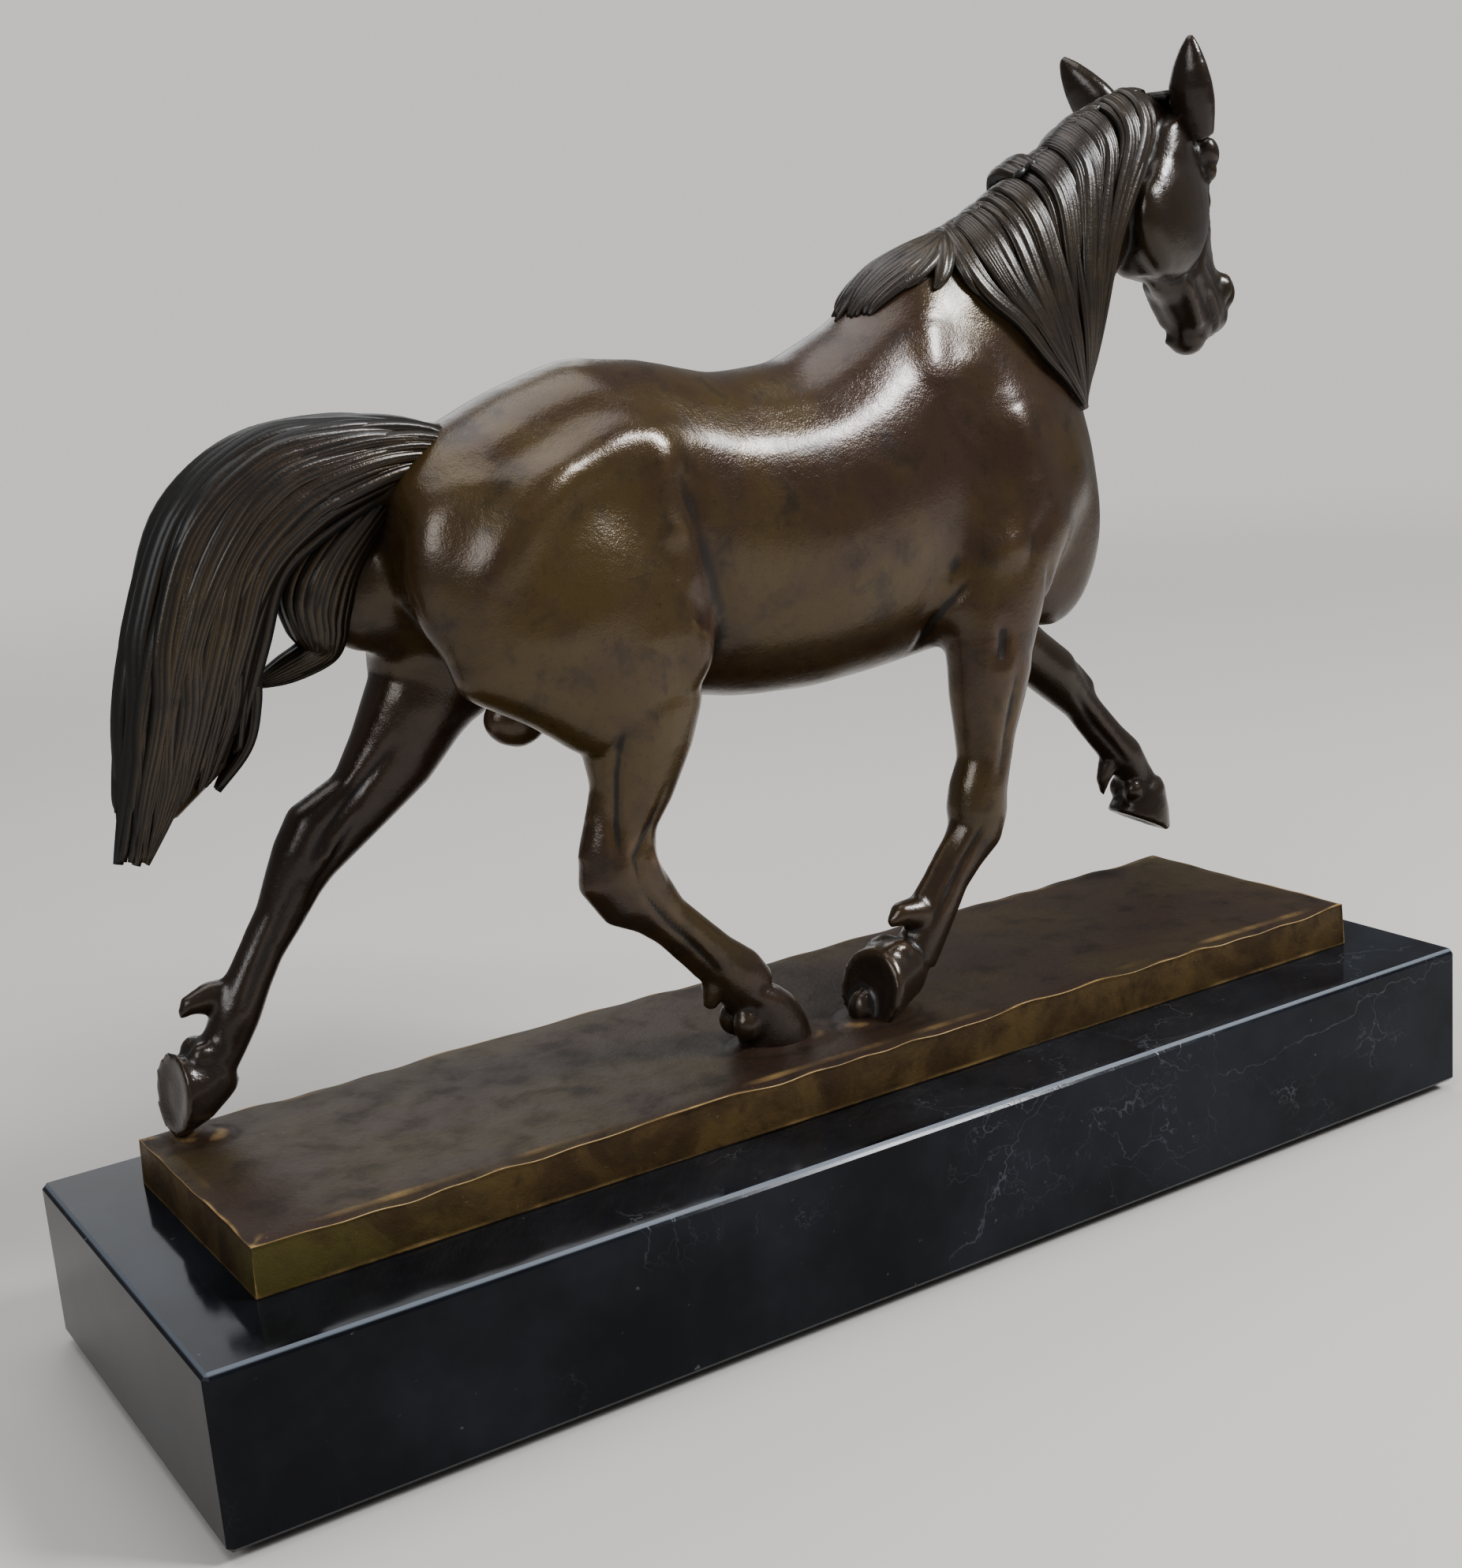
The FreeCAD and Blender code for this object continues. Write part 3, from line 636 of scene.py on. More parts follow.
def lock_outline(ridges, depth=0.14):
    """A lock's section: a rippled crown over a flat back, half wide 1 and high 1.

    The third number is how far down a hollow each point is.
    """
    crown = ridges * 3
    outline = []
    for step in range(crown + 1):
        angle = math.pi * step / crown
        dip = (1 - math.cos(2 * math.pi * ridges * step / crown)) / 2
        ripple = 1 - depth * (1 - dip)
        height = math.sin(angle) ** 0.5
        outline.append((math.cos(angle), height * ripple, max(1 - dip, 1 - height)))
    for step in range(1, 4):
        outline.append((-1 + step / 2, -0.4, 1.0))
    return outline


class Hair:
    """Locks gathered into one mesh."""

    def __init__(self):
        self.points = []
        self.hollows = []
        self.faces = []

    def lock(self, path, outwards, wide, thick, ridges=5, root=0.55, tip=0.08, belly=0.35,
             depth=0.14, widths=None):
        """One lock along a path; outwards is the skin's normal at each of its points.

        Half as wide as wide says, swelling from root to belly and thinning to the tip, or as
        widths says ring by ring.
        """
        outline = lock_outline(ridges, depth)
        around = len(outline)
        count = len(path)
        first = len(self.points)
        for number in range(count):
            share = number / (count - 1)
            ahead = path[min(number + 1, count - 1)] - path[max(number - 1, 0)]
            ahead = ahead / max(np.linalg.norm(ahead), 1e-9)
            out = outwards[number] - ahead * (outwards[number] @ ahead)
            out = out / max(np.linalg.norm(out), 1e-9)
            across = np.cross(ahead, out)
            if share < belly:
                swell = root + (1 - root) * math.sin(share / belly * math.pi / 2)
            else:
                fall = math.cos((share - belly) / (1 - belly) * math.pi / 2) ** 0.8
                swell = tip + (1 - tip) * fall
            half = wide * swell if widths is None else widths[number]
            high = thick * (0.35 + 0.65 * swell)
            for x, y, hollow in outline:
                self.points.append(path[number] + (across * (x * half) + out * (y * high)) * MM)
                self.hollows.append(0.40 + 0.45 * hollow)
        for number in range(count - 1):
            for step in range(around):
                a = first + number * around + step
                b = first + number * around + (step + 1) % around
                self.faces.append((a, a + around, b + around, b))
        self.faces.append(tuple(first + step for step in range(around)))
        last = first + (count - 1) * around
        self.faces.append(tuple(last + step for step in reversed(range(around))))

    def laid_lock(self, tree, marks, rises, *shape, **taper):
        """A lock along marks, dropped on the skin and lifted off it by the rises."""
        path, outwards = laid_on(tree, smooth_path(marks, len(rises)), rises)
        self.lock(path, outwards, *shape, **taper)

    def finish(self, name):
        mesh = bpy.data.meshes.new(name)
        mesh.from_pydata([tuple(point) for point in self.points], [], self.faces)
        hollow = mesh.attributes.new("hollow", "FLOAT", "POINT")
        hollow.data.foreach_set("value", self.hollows)
        piece = bpy.data.objects.new(name, mesh)
        bpy.context.collection.objects.link(piece)
        pick(piece)
        bpy.ops.object.mode_set(mode="EDIT")
        bpy.ops.mesh.select_all(action="SELECT")
        bpy.ops.mesh.normals_make_consistent(inside=False)
        bpy.ops.object.mode_set(mode="OBJECT")
        return piece


def laid_on(tree, points, lift):
    """Points dropped on the skin, then lifted off it; and the skin's normals there."""
    laid, outwards = [], []
    for number, point in enumerate(points):
        found, normal, _, _ = tree.find_nearest(Vector(point))
        laid.append(np.array(found) + np.array(normal) * (lift[number] * MM))
        outwards.append(np.array(normal))
    outwards = np.array(outwards)
    laid = np.array(laid)
    for _ in range(3):
        outwards[1:-1] = (outwards[:-2] + outwards[1:-1] * 2 + outwards[2:]) / 4
        laid[1:-1] = (laid[:-2] + laid[1:-1] * 2 + laid[2:]) / 4
    return laid, outwards


def arch(count, base, rise, power=1.0):
    """Count heights that start at the base, rise and come back to it."""
    return [base + rise * math.sin(math.pi * k / (count - 1)) ** power for k in range(count)]


def between(guides, share):
    """The marks of a line that lies between the guides, share 0 at the first, 1 at the last."""
    where = share * (len(guides) - 1)
    number = min(int(where), len(guides) - 2)
    part = where - number
    return [np.array(spot(*(a + (b - a) * part for a, b in zip(first, second))))
            for first, second in zip(guides[number], guides[number + 1])]


# How the mane hangs, from its lower edge to its edge by the ear: each line from over the crest
# to the point low on the neck's front where all of it is drawn together.
MANE_LINES = [
    [(57, 3, 175), (59, -1, 176.5), (57, -8, 166), (60.5, -13, 160), (69, -15, 154),
     (77, -16, 146), (85, -14, 139), (92, -9, 131.5)],
    [(69, 4, 179), (71, 0, 181), (73, -7, 174), (75, -12, 163), (79, -14, 154), (83, -15, 147),
     (87, -13, 139), (93, -9, 131.5)],
    [(83, 5, 186), (84, 1, 188), (86, -6, 180), (86, -11, 169), (87, -13, 159), (89, -13, 150),
     (91.5, -11, 141), (94.5, -8, 132)],
    [(100, 6, 197), (101, 2, 199), (103, -5, 191), (100, -9, 180), (97, -11, 168),
     (96, -11, 158), (96, -10, 147), (96.5, -7, 133)],
    [(115, 7, 202), (116.5, 3, 204), (116, -3, 195), (110, -7, 184), (104, -9, 171),
     (101, -9, 159), (99.5, -8, 147), (98, -6, 134)],
    [(127, 8, 204), (128, 4, 206), (126, -3.5, 198), (119, -7, 188), (109.5, -8, 174),
     (105.5, -7, 161), (102, -7, 147), (99.5, -5, 134)],
]


def make_mane(horse):
    """Locks from the crest down the neck's right side, drawn together low on its front."""
    tree = BVHTree.FromObject(horse, bpy.context.evaluated_depsgraph_get())
    draw = random.Random(7)
    hair = Hair()
    rings = 48
    bounds = [0.0, 0.085, 0.17, 0.28, 0.40, 0.52, 0.63, 0.74, 0.87, 1.0]
    for number, (low, high) in enumerate(zip(bounds[:-1], bounds[1:])):
        drift = draw.uniform(-0.012, 0.012)
        lower = smooth_path(between(MANE_LINES, max(low + drift, 0)), rings)
        upper = smooth_path(between(MANE_LINES, min(high + drift, 1)), rings)
        rises = arch(rings, -0.5 + 0.25 * (number % 2), 0.5)
        path, outwards = laid_on(tree, (lower + upper) / 2, rises)
        gap = np.linalg.norm(upper - lower, axis=1) / MM
        widths = 0.5 * gap * (0.97 - 0.12 * np.sin(np.linspace(0, math.pi, rings)) ** 2) + 0.15
        hair.lock(path, outwards, 5, 2.2 + 0.5 * (number % 2), 12 + number % 3, root=0.75, tip=0.5,
                  belly=0.4, depth=0.12, widths=widths)
    for number in range(22):
        share = 0.03 + 0.94 * (number + draw.uniform(0, 0.8)) / 22
        drift = draw.uniform(-0.05, 0.05)
        first, last = between(MANE_LINES, share), between(MANE_LINES, min(max(share + drift, 0), 1))
        marks = [(1 - t) * a + t * b for a, b, t in zip(first, last, np.linspace(0, 1, 8))]
        begin, stop = draw.choice(((0, 8), (1, 8), (2, 8), (0, 6), (1, 7), (3, 8)))
        hair.laid_lock(tree, marks[begin:stop], arch(rings, 0.6, 0.9), draw.uniform(1.2, 2.4),
                       draw.uniform(1.7, 2.2), 4, root=0.25, tip=0.1, belly=0.5)
    # short locks over to the left of the crest
    for number in range(11):
        share = (number + 0.5) / 11
        top = between(MANE_LINES, share)[0]
        fall = draw.uniform(6, 10)
        marks = [top + np.array((0.5, -6, 0.5)) * MM, top + np.array((0, -1.5, 0.8)) * MM,
                 top + np.array((0.5, 2.5, -1.5)) * MM, top + np.array((2, 6, -fall)) * MM]
        hair.laid_lock(tree, marks, arch(24, -0.6, 0.6), 4.6, 2.6, 7, root=0.8, tip=0.15,
                       belly=0.5)
    for x, y, z in ((85.5, 3.2, 187), (88.2, 2.6, 188.6)):
        marks = [spot(x - 1, y - 5, z), spot(x - 0.5, y + 0.5, z + 1.4), spot(x, y + 5, z + 0.2),
                 spot(x + 0.6, y + 7.6, z - 5)]
        hair.lock(smooth_path(marks, 24), np.array([(-0.3, 0.5, 0.8)] * 24), 3, 2.8, 5, root=0.7,
                  tip=0.3, belly=0.4)
    # the tuft that is swept back over the withers
    for number in range(13):
        share = number / 12
        low = -7.5 + 13 * share
        marks = [spot(62 - 3 * abs(low) / 8, low * 0.5, 175.5), spot(55, low * 0.9, 173.5),
                 spot(46, low * 1.1, 171.8 - abs(low) * 0.5),
                 spot(36 + draw.uniform(-2, 2), low * 1.15, 167.5 - abs(low) * 0.5),
                 spot(28 + abs(low) * 0.8 + draw.uniform(-2, 2), low * 1.1, 160.5)]
        hair.laid_lock(tree, marks, arch(34, -0.6, 1.0, 0.6), draw.uniform(2.0, 2.8),
                       draw.uniform(2.0, 2.6), 5, root=0.7, tip=0.15, belly=0.4)
    for marks in ([(60, -3, 174), (56, -7, 170), (52.5, -9.5, 165.5), (49.5, -10, 162.5)],
                  [(60, -2, 174.5), (53, -7, 171), (46, -9, 167), (41, -10, 165)],
                  [(58, -1, 175), (50, -6, 172), (42, -8, 169.5), (36, -8.5, 165)],
                  [(61, -4, 173.5), (59, -8.5, 168), (59.5, -11.5, 163.5), (61, -13, 160.5)]):
        hair.laid_lock(tree, [spot(*mark) for mark in marks], arch(26, 0, 0.5), 2.5, 2.2, 5,
                       root=0.6, tip=0.12, belly=0.35)
    return hair.finish("mane")


# The tail's near side, from the upper edge to the lower: lines from the dock to the tips.
TAIL_LINES = [
    [(-63, 2, 140.5), (-80, 2, 146.4), (-96, 2, 148.4), (-114, 2, 147), (-130, 2, 135.5),
     (-140, 2, 114), (-144.4, 2, 98), (-147.5, 2, 82), (-149.5, 2, 69)],
    [(-64, 2, 138), (-80, 2, 141.5), (-95, 2, 141), (-110, 2, 137), (-122, 2, 126),
     (-130, 2, 110), (-134, 2, 95), (-138.5, 2, 81), (-144.5, 2, 68)],
    [(-66, 2, 134), (-79, 2, 134), (-90, 2, 130), (-101, 2, 124.5), (-110, 2, 118),
     (-115, 2, 106), (-117.5, 2, 95), (-120.5, 2, 86), (-126, 2, 79)],
]


def make_tail():
    """The flying tail's long locks, in three layers on each side, the finest outside."""
    draw = random.Random(3)
    hair = Hair()
    rings = 52
    for count, deep, wide, thick in ((9, 6.5, 3.9, 3.4), (11, 7.5, 2.9, 2.8), (9, 8.3, 1.9, 2.2)):
        for side in (-1, 1):
            for number in range(count):
                share = (number + 0.5) / count + draw.uniform(-0.02, 0.02)
                drift = draw.uniform(-0.05, 0.05)
                late = min(max(share + drift, 0), 1)
                phase = draw.uniform(0, 6.28)
                stop = 9 if share < 0.55 or draw.random() < 0.2 else 8
                marks = []
                for step in range(stop):
                    t = step / 8
                    now = share * (1 - t) + late * t
                    mark = between(TAIL_LINES, min(max(now, 0.01), 0.99))[step]
                    round_off = math.sin(math.pi * min(max(now, 0.03), 0.97)) ** 0.6
                    swing = deep * (0.62 + 0.38 * math.sin(math.pi * min(t * 1.1, 1)))
                    mark[1] += side * swing * round_off * MM
                    if step:                                # the strands wave a little
                        wave = math.sin(1.9 * step + phase)
                        mark += np.array((0.9, 0.4 * side, 0.5)) * wave * MM
                    marks.append(mark)
                reach = draw.choice((0.35, 0.6, 0.8, 1, 1.05))
                marks[-1] = marks[-2] + (marks[-1] - marks[-2]) * reach
                path = smooth_path(marks, rings)
                across_share = (share - 0.5) * 2
                outwards = []
                for k in range(rings):
                    ahead = path[min(k + 1, rings - 1)] - path[max(k - 1, 0)]
                    ahead /= np.linalg.norm(ahead)
                    up = np.cross(ahead, (0, 1, 0))
                    up /= np.linalg.norm(up)
                    if up[2] < 0 and k < 4:
                        up = -up
                    outwards.append(np.array((0, side, 0)) * (1 - across_share ** 2 * 0.8)
                                    - up * across_share * 1.1)
                hair.lock(path, np.array(outwards), wide * draw.uniform(0.85, 1.2), thick, 6,
                          root=0.5, tip=0.12, belly=0.55)
    return hair.finish("tail")


# The shorter hair under the dock, gathered to a point that swings out behind.
INNER_LINES = [
    [(-91, 4, 132), (-103, 4, 122), (-107.5, 4.5, 115), (-106, 5.5, 108), (-103.5, 7, 103.4),
     (-109, 8.5, 100.4), (-115, 9.5, 97.4)],
    [(-82, 4, 131), (-92, 4, 119), (-96, 4.5, 109), (-97.5, 5.5, 103.5), (-100, 7, 100),
     (-107, 8.5, 97), (-113.5, 9.5, 95.8)],
]


def make_inner_lock():
    """The short hair under the dock."""
    draw = random.Random(5)
    hair = Hair()
    for side in (-1, 1):
        for number in range(7):
            share = (number + 0.5) / 7
            marks = between(INNER_LINES, share)
            for step, mark in enumerate(marks):
                mark[1] += side * math.sin(math.pi * share) ** 0.7 * (4.4 - 0.55 * step) * MM
            path = smooth_path(marks, 34)
            hair.lock(path, np.array([(0.0, side, 0.15)] * 34), 2.3, 2.4 + draw.uniform(0, 0.4), 4,
                      root=0.7, tip=0.1, belly=0.4)
    return hair.finish("inner_lock")


def make_forelock():
    """Short curls between the ears, over the forehead."""
    draw = random.Random(11)
    hair = Hair()
    for number in range(11):
        left = -7.5 + 1.5 * number
        curl = draw.uniform(-2.2, 2.2)
        short = draw.uniform(-3, 1)
        marks = [on_head(-4, left * 0.35, -3), on_head(-1.5, left * 0.7, 2.4),
                 on_head(3, left * 0.9 + curl * 0.3, 5.6), on_head(7.5, left * 0.95 + curl, 7.2),
                 on_head(11 + short, left * 0.9 + curl * 0.6, 8.0),
                 on_head(15 + short, left * 0.8 - curl, 6.6)]
        outwards = np.array([OFF_FACE + HEAD_LEFT * (left * 0.08)] * 32)
        hair.lock(smooth_path(marks, 32), outwards, 2.3, 2.1, 4, root=0.5, tip=0.15, belly=0.55)
    return hair.finish("forelock")


# ---- plinth -------------------------------------------------------------------------------

MOUNDS = [
    (-14, -18.5, -6, 21, 16, 7.6), (-8, -22, -5, 15, 12, 6), (13, -20.5, -6, 19, 15, 7.5),
    (6, -24, -5, 12, 9, 6), (-137.5, 22.5, -3, 8.2, 10, 4.4), (-134, 19, -3, 8, 9, 4),
]


def make_plinth():
    """The cast plinth: a slab with hand-worked edges and a weld mound at each planted hoof."""
    deselect()
    size = PLINTH_HIGH - PLINTH_LOW
    middle = (PLINTH_HIGH + PLINTH_LOW) / 2
    bpy.ops.mesh.primitive_cube_add(size=1, location=middle, scale=size)
    slab = bpy.context.object
    slab.name = "plinth_casting"
    bpy.ops.object.transform_apply(location=True, rotation=True, scale=True)
    bpy.ops.object.mode_set(mode="EDIT")
    for mound in MOUNDS:
        ball(*mound)
    bpy.ops.object.mode_set(mode="OBJECT")
    melt(slab, PLINTH_VOXEL, 1)
    points, normals = read_points(slab)
    x, y, z = points.T / MM
    low, high = np.array(PLINTH_LOW) / MM, np.array(PLINTH_HIGH) / MM
    inset = np.minimum(np.minimum(x - low[0], high[0] - x), np.minimum(y - low[1], high[1] - y))
    rise = np.clip((z - low[2]) / (high[2] - low[2]), 0, 1)
    lazy = (np.sin(x * 0.055 + 1.3) + 0.7 * np.sin(x * 0.13 + y * 0.05) + 0.5 * np.sin(x * 0.23 + 2)
            + 0.4 * np.sin(y * 0.17 + 0.6))
    quick = np.sin(x * 0.37 + 0.4 + 1.7 * np.sin(x * 0.06)) + 0.5 * np.sin(y * 0.43 + 1)
    near = np.exp(-(inset / 2.2) ** 2)
    # a worn lip: the top dips in scallops along its edge, and the walls lean and wave
    z = z - rise ** 6 * near * (0.55 + 0.28 * lazy + 0.16 * quick)
    z = z + rise ** 6 * (1 - near) * (0.09 * np.sin(x * 0.045) * np.sin(y * 0.08 + 1)
                                      + 0.04 * np.sin(x * 0.021 + y * 0.11))
    out = np.clip(1 - inset / 1.5, 0, 1) * (0.14 * lazy + 0.06 * quick - 0.55 * rise)
    x = x + np.clip(normals[:, 0], -1, 1) * out
    y = y + np.clip(normals[:, 1], -1, 1) * out
    z = np.where(rise < 0.05, points[:, 2] / MM, z)
    write_points(slab, np.stack((x, y, z), 1) * MM)
    return slab


# ---- hollows and pieces -------------------------------------------------------------------


def mark_hollows(piece, rounds=4, gain=2.6):
    """Store how hollow the skin is: 0.5 where it is plain, more in a crease, less on an edge."""
    points, normals = read_points(piece)
    ends = np.empty(len(piece.data.edges) * 2, dtype=np.int32)
    piece.data.edges.foreach_get("vertices", ends)
    first, second = ends.reshape(-1, 2).T
    total = len(points)
    joined = np.bincount(first, minlength=total) + np.bincount(second, minlength=total)
    eased = points.copy()
    for _ in range(rounds):
        mean = np.stack([np.bincount(first, eased[second, k], total)
                         + np.bincount(second, eased[first, k], total) for k in range(3)], 1)
        eased = 0.4 * eased + 0.6 * mean / np.maximum(joined, 1)[:, None]
    dip = ((eased - points) * normals).sum(1) / MM
    hollow = piece.data.attributes.get("hollow")
    if hollow is None:
        hollow = piece.data.attributes.new("hollow", "FLOAT", "POINT")
    hollow.data.foreach_set("value", np.clip(0.5 + dip * gain, 0, 1))


def copy_of(source):
    piece = source.copy()
    piece.data = source.data.copy()
    bpy.context.collection.objects.link(piece)
    return piece


def slice_of(source, *cuts):
    """A copy of the source, cut by planes: (point, normal), the side it points to is kept."""
    piece = copy_of(source)
    pick(piece)
    bpy.ops.object.mode_set(mode="EDIT")
    for point, normal in cuts:
        bpy.ops.mesh.select_all(action="SELECT")
        bpy.ops.mesh.bisect(plane_co=point, plane_no=normal, use_fill=True, clear_inner=True)
        # the cut's own face keeps a sharp rim, so that the skins shade as one
        bpy.ops.mesh.region_to_loop()
        bpy.ops.mesh.mark_sharp()
    bpy.ops.object.mode_set(mode="OBJECT")
    return piece


def loose_parts(shape):
    """The vertices of each part of the mesh that hangs together."""
    unseen = set(shape.verts)
    parts = []
    while unseen:
        start = unseen.pop()
        part, edge = [start], [start]
        while edge:
            for link in edge.pop().link_edges:
                for vert in link.verts:
                    if vert in unseen:
                        unseen.discard(vert)
                        part.append(vert)
                        edge.append(vert)
        parts.append(part)
    return parts


def keep_part(piece, choose):
    """Clear away every loose part but the one that choose picks."""
    shape = bmesh.new()
    shape.from_mesh(piece.data)
    parts = loose_parts(shape)
    kept = choose(parts)
    bmesh.ops.delete(shape, geom=[vert for part in parts if part is not kept for vert in part])
    shape.to_mesh(piece.data)
    shape.free()
    return piece


def nearest_to(x, y):
    """Picks the large part whose middle is nearest to this place."""
    goal = spot(x, y, 0).xy

    def far(part):
        middle = sum((vert.co for vert in part), Vector()) / len(part)
        return (middle.xy - goal).length

    return lambda parts: min((part for part in parts if len(part) > CRUMB), key=far)


# ---- stage, light and camera --------------------------------------------------------------

CAMERA_AT = Vector((-253.8, -398.1, 218.6)) * MM
CAMERA_AZIMUTH = math.radians(-31.17)
CAMERA_ELEVATION = math.radians(13.45)
CAMERA_ROLL = math.radians(-4.73)
CAMERA_LENS = 48.45


def make_camera():
    turned = (Matrix.Rotation(CAMERA_AZIMUTH, 3, "Z")
              @ Matrix.Rotation(math.pi / 2 - CAMERA_ELEVATION, 3, "X")
              @ Matrix.Rotation(CAMERA_ROLL, 3, "Z"))
    bpy.ops.object.camera_add(location=CAMERA_AT, rotation=turned.to_euler())
    camera = bpy.context.object
    camera.data.lens = CAMERA_LENS
    camera.data.clip_start = 0.01
    bpy.context.scene.camera = camera


# ---- finishes -----------------------------------------------------------------------------


class Sheet:
    """A node tree with short ways to add and wire nodes."""

    def __init__(self, tree):
        self.tree = tree

    def feed(self, socket, value):
        """Wire an output into a socket, or set the socket's own value."""
        if isinstance(value, bpy.types.NodeSocket):
            self.tree.links.new(value, socket)
        else:
            socket.default_value = (*value, 1.0) if socket.type == "RGBA" else value

    def add(self, kind, *wires, **settings):
        """A node; wires are (socket, value or output) pairs, settings its own properties."""
        node = self.tree.nodes.new("ShaderNode" + kind)
        for name, value in settings.items():
            setattr(node, name, value)
        for socket, value in wires:
            self.feed(node.inputs[socket], value)
        return node

    def noise(self, place, scale, detail=4.0, roughness=0.55, distortion=0.0, output="Fac"):
        return self.add("TexNoise", ("Vector", place), ("Scale", scale), ("Detail", detail),
                        ("Roughness", roughness), ("Distortion", distortion)).outputs[output]

    def span(self, value, low, high, to_low=0.0, to_high=1.0):
        """The value's range from low to high, drawn out to the new range."""
        return self.add("MapRange", ("Value", value), ("From Min", low), ("From Max", high),
                        ("To Min", to_low), ("To Max", to_high),
                        interpolation_type="SMOOTHSTEP").outputs[0]

    def math(self, operation, first, second, clamp=False):
        return self.add("Math", (0, first), (1, second), operation=operation,
                        use_clamp=clamp).outputs[0]

    def times(self, first, second, clamp=False):
        return self.math("MULTIPLY", first, second, clamp)

    def plus(self, first, second):
        return self.math("ADD", first, second)

    def mix(self, share, first, second):
        return self.add("Mix", (0, share), (6, first), (7, second), data_type="RGBA").outputs[2]


class Finish(Sheet):
    """A new material, with its shader and the place on the piece."""

    def __init__(self, name):
        self.material = bpy.data.materials.new(name)
        self.material.use_nodes = True
        super().__init__(self.material.node_tree)
        self.shader = self.tree.nodes["Principled BSDF"]
        self.place = self.add("TexCoord").outputs["Object"]

    def wire(self, **sockets):
        for name, value in sockets.items():
            self.feed(self.shader.inputs[name.replace("_", " ")], value)

    def bump(self, height, strength, distance):
        node = self.add("Bump", ("Height", height), ("Strength", strength), ("Distance", distance))
        self.wire(Normal=node.outputs["Normal"])

    def facing_up(self):
        normal = self.add("NewGeometry").outputs["Normal"]
        return self.add("SeparateXYZ", (0, normal)).outputs["Z"]


def make_group(name, inputs, outputs):
    """A group with named sockets; gives its sheet, its inputs' outputs and its end node."""
    tree = bpy.data.node_groups.new(name, "ShaderNodeTree")
    for socket, kind in inputs:
        tree.interface.new_socket(socket, in_out="INPUT", socket_type="NodeSocket" + kind)
    for socket, kind in outputs:
        tree.interface.new_socket(socket, in_out="OUTPUT", socket_type="NodeSocket" + kind)
    start = tree.nodes.new("NodeGroupInput")
    end = tree.nodes.new("NodeGroupOutput")
    return Sheet(tree), start.outputs, end


def make_patina():
    """Waxed brown patina over cast bronze, dark in the creases, rubbed on the edges."""
    sheet, given, end = make_group(
        "waxed_patina",
        [("Place", "Vector"), ("Hollow", "Float"), ("Dark", "Color"), ("Brown", "Color"),
         ("Olive", "Color"), ("Rubbed", "Color"), ("Rub", "Float"), ("Gloss", "Float")],
        [("Color", "Color"), ("Roughness", "Float"), ("Height", "Float"), ("Rubbed", "Float")])
    place, hollow, dark = given["Place"], given["Hollow"], given["Dark"]
    broad = sheet.noise(place, 24, 4, 0.6, 0.4)
    mottle = sheet.noise(place, 105, 5, 0.62, 0.3)
    grain = sheet.noise(place, 620, 4, 0.6)
    grit = sheet.noise(place, 2600, 2, 0.5)
    shade = sheet.mix(sheet.span(broad, 0.40, 0.62), given["Brown"], given["Olive"])
    for mask in (sheet.span(mottle, 0.50, 0.72, 0, 0.55), sheet.span(grain, 0.55, 0.75, 0, 0.30),
                 sheet.span(hollow, 0.53, 0.78, 0, 0.93)):
        shade = sheet.mix(mask, shade, dark)
    patchy = sheet.span(sheet.noise(place, 60, 5, 0.65), 0.38, 0.62, 0.25, 1)
    edge = sheet.times(sheet.span(hollow, 0.44, 0.12), patchy)
    worn = sheet.times(edge, given["Rub"], clamp=True)
    matt = sheet.plus(given["Gloss"], sheet.span(mottle, 0.35, 0.7, -0.04, 0.06))
    height = sheet.plus(sheet.times(grain, 0.55), sheet.times(grit, 0.3))
    for name, value in (("Color", sheet.mix(worn, shade, given["Rubbed"])),
                        ("Roughness", sheet.plus(matt, sheet.span(hollow, 0.55, 0.85, 0, 0.3))),
                        ("Height", sheet.plus(height, sheet.times(mottle, 0.5))),
                        ("Rubbed", worn)):
        sheet.feed(end.inputs[name], value)
    return sheet.tree


def bronze_finish(name, patina, metallic=0.25, coat=0.3, strength=0.45, painted_shade=0.0, **tones):
    """Patinated bronze, the patina's inputs given by name.

    The painted shade setting paints shade onto the head and the feet, which are far from the
    barrel's middle.
    """
    finish = Finish(name)
    hollow = finish.add("Attribute", attribute_name="hollow").outputs["Fac"]
    group = finish.add("Group", ("Place", finish.place), ("Hollow", hollow), *tones.items(),
                       node_tree=patina)
    # painted shade: the head and the feet, far from the barrel's middle, are darkened towards a
    # near-black brown
    away = finish.add("VectorMath", (0, finish.place), (1, (-0.005, 0.007, 0.172)),
                      operation="DISTANCE").outputs["Value"]
    far = finish.span(away, 0.070, 0.135, 0.0, painted_shade)
    shade = finish.mix(far, group.outputs["Color"], (0.019, 0.014, 0.011))
    finish.wire(Base_Color=shade, Roughness=group.outputs["Roughness"], Metallic=metallic,
                Coat_Weight=coat, Coat_Roughness=0.2)
    finish.bump(group.outputs["Height"], strength, 0.0004)
    return finish, group


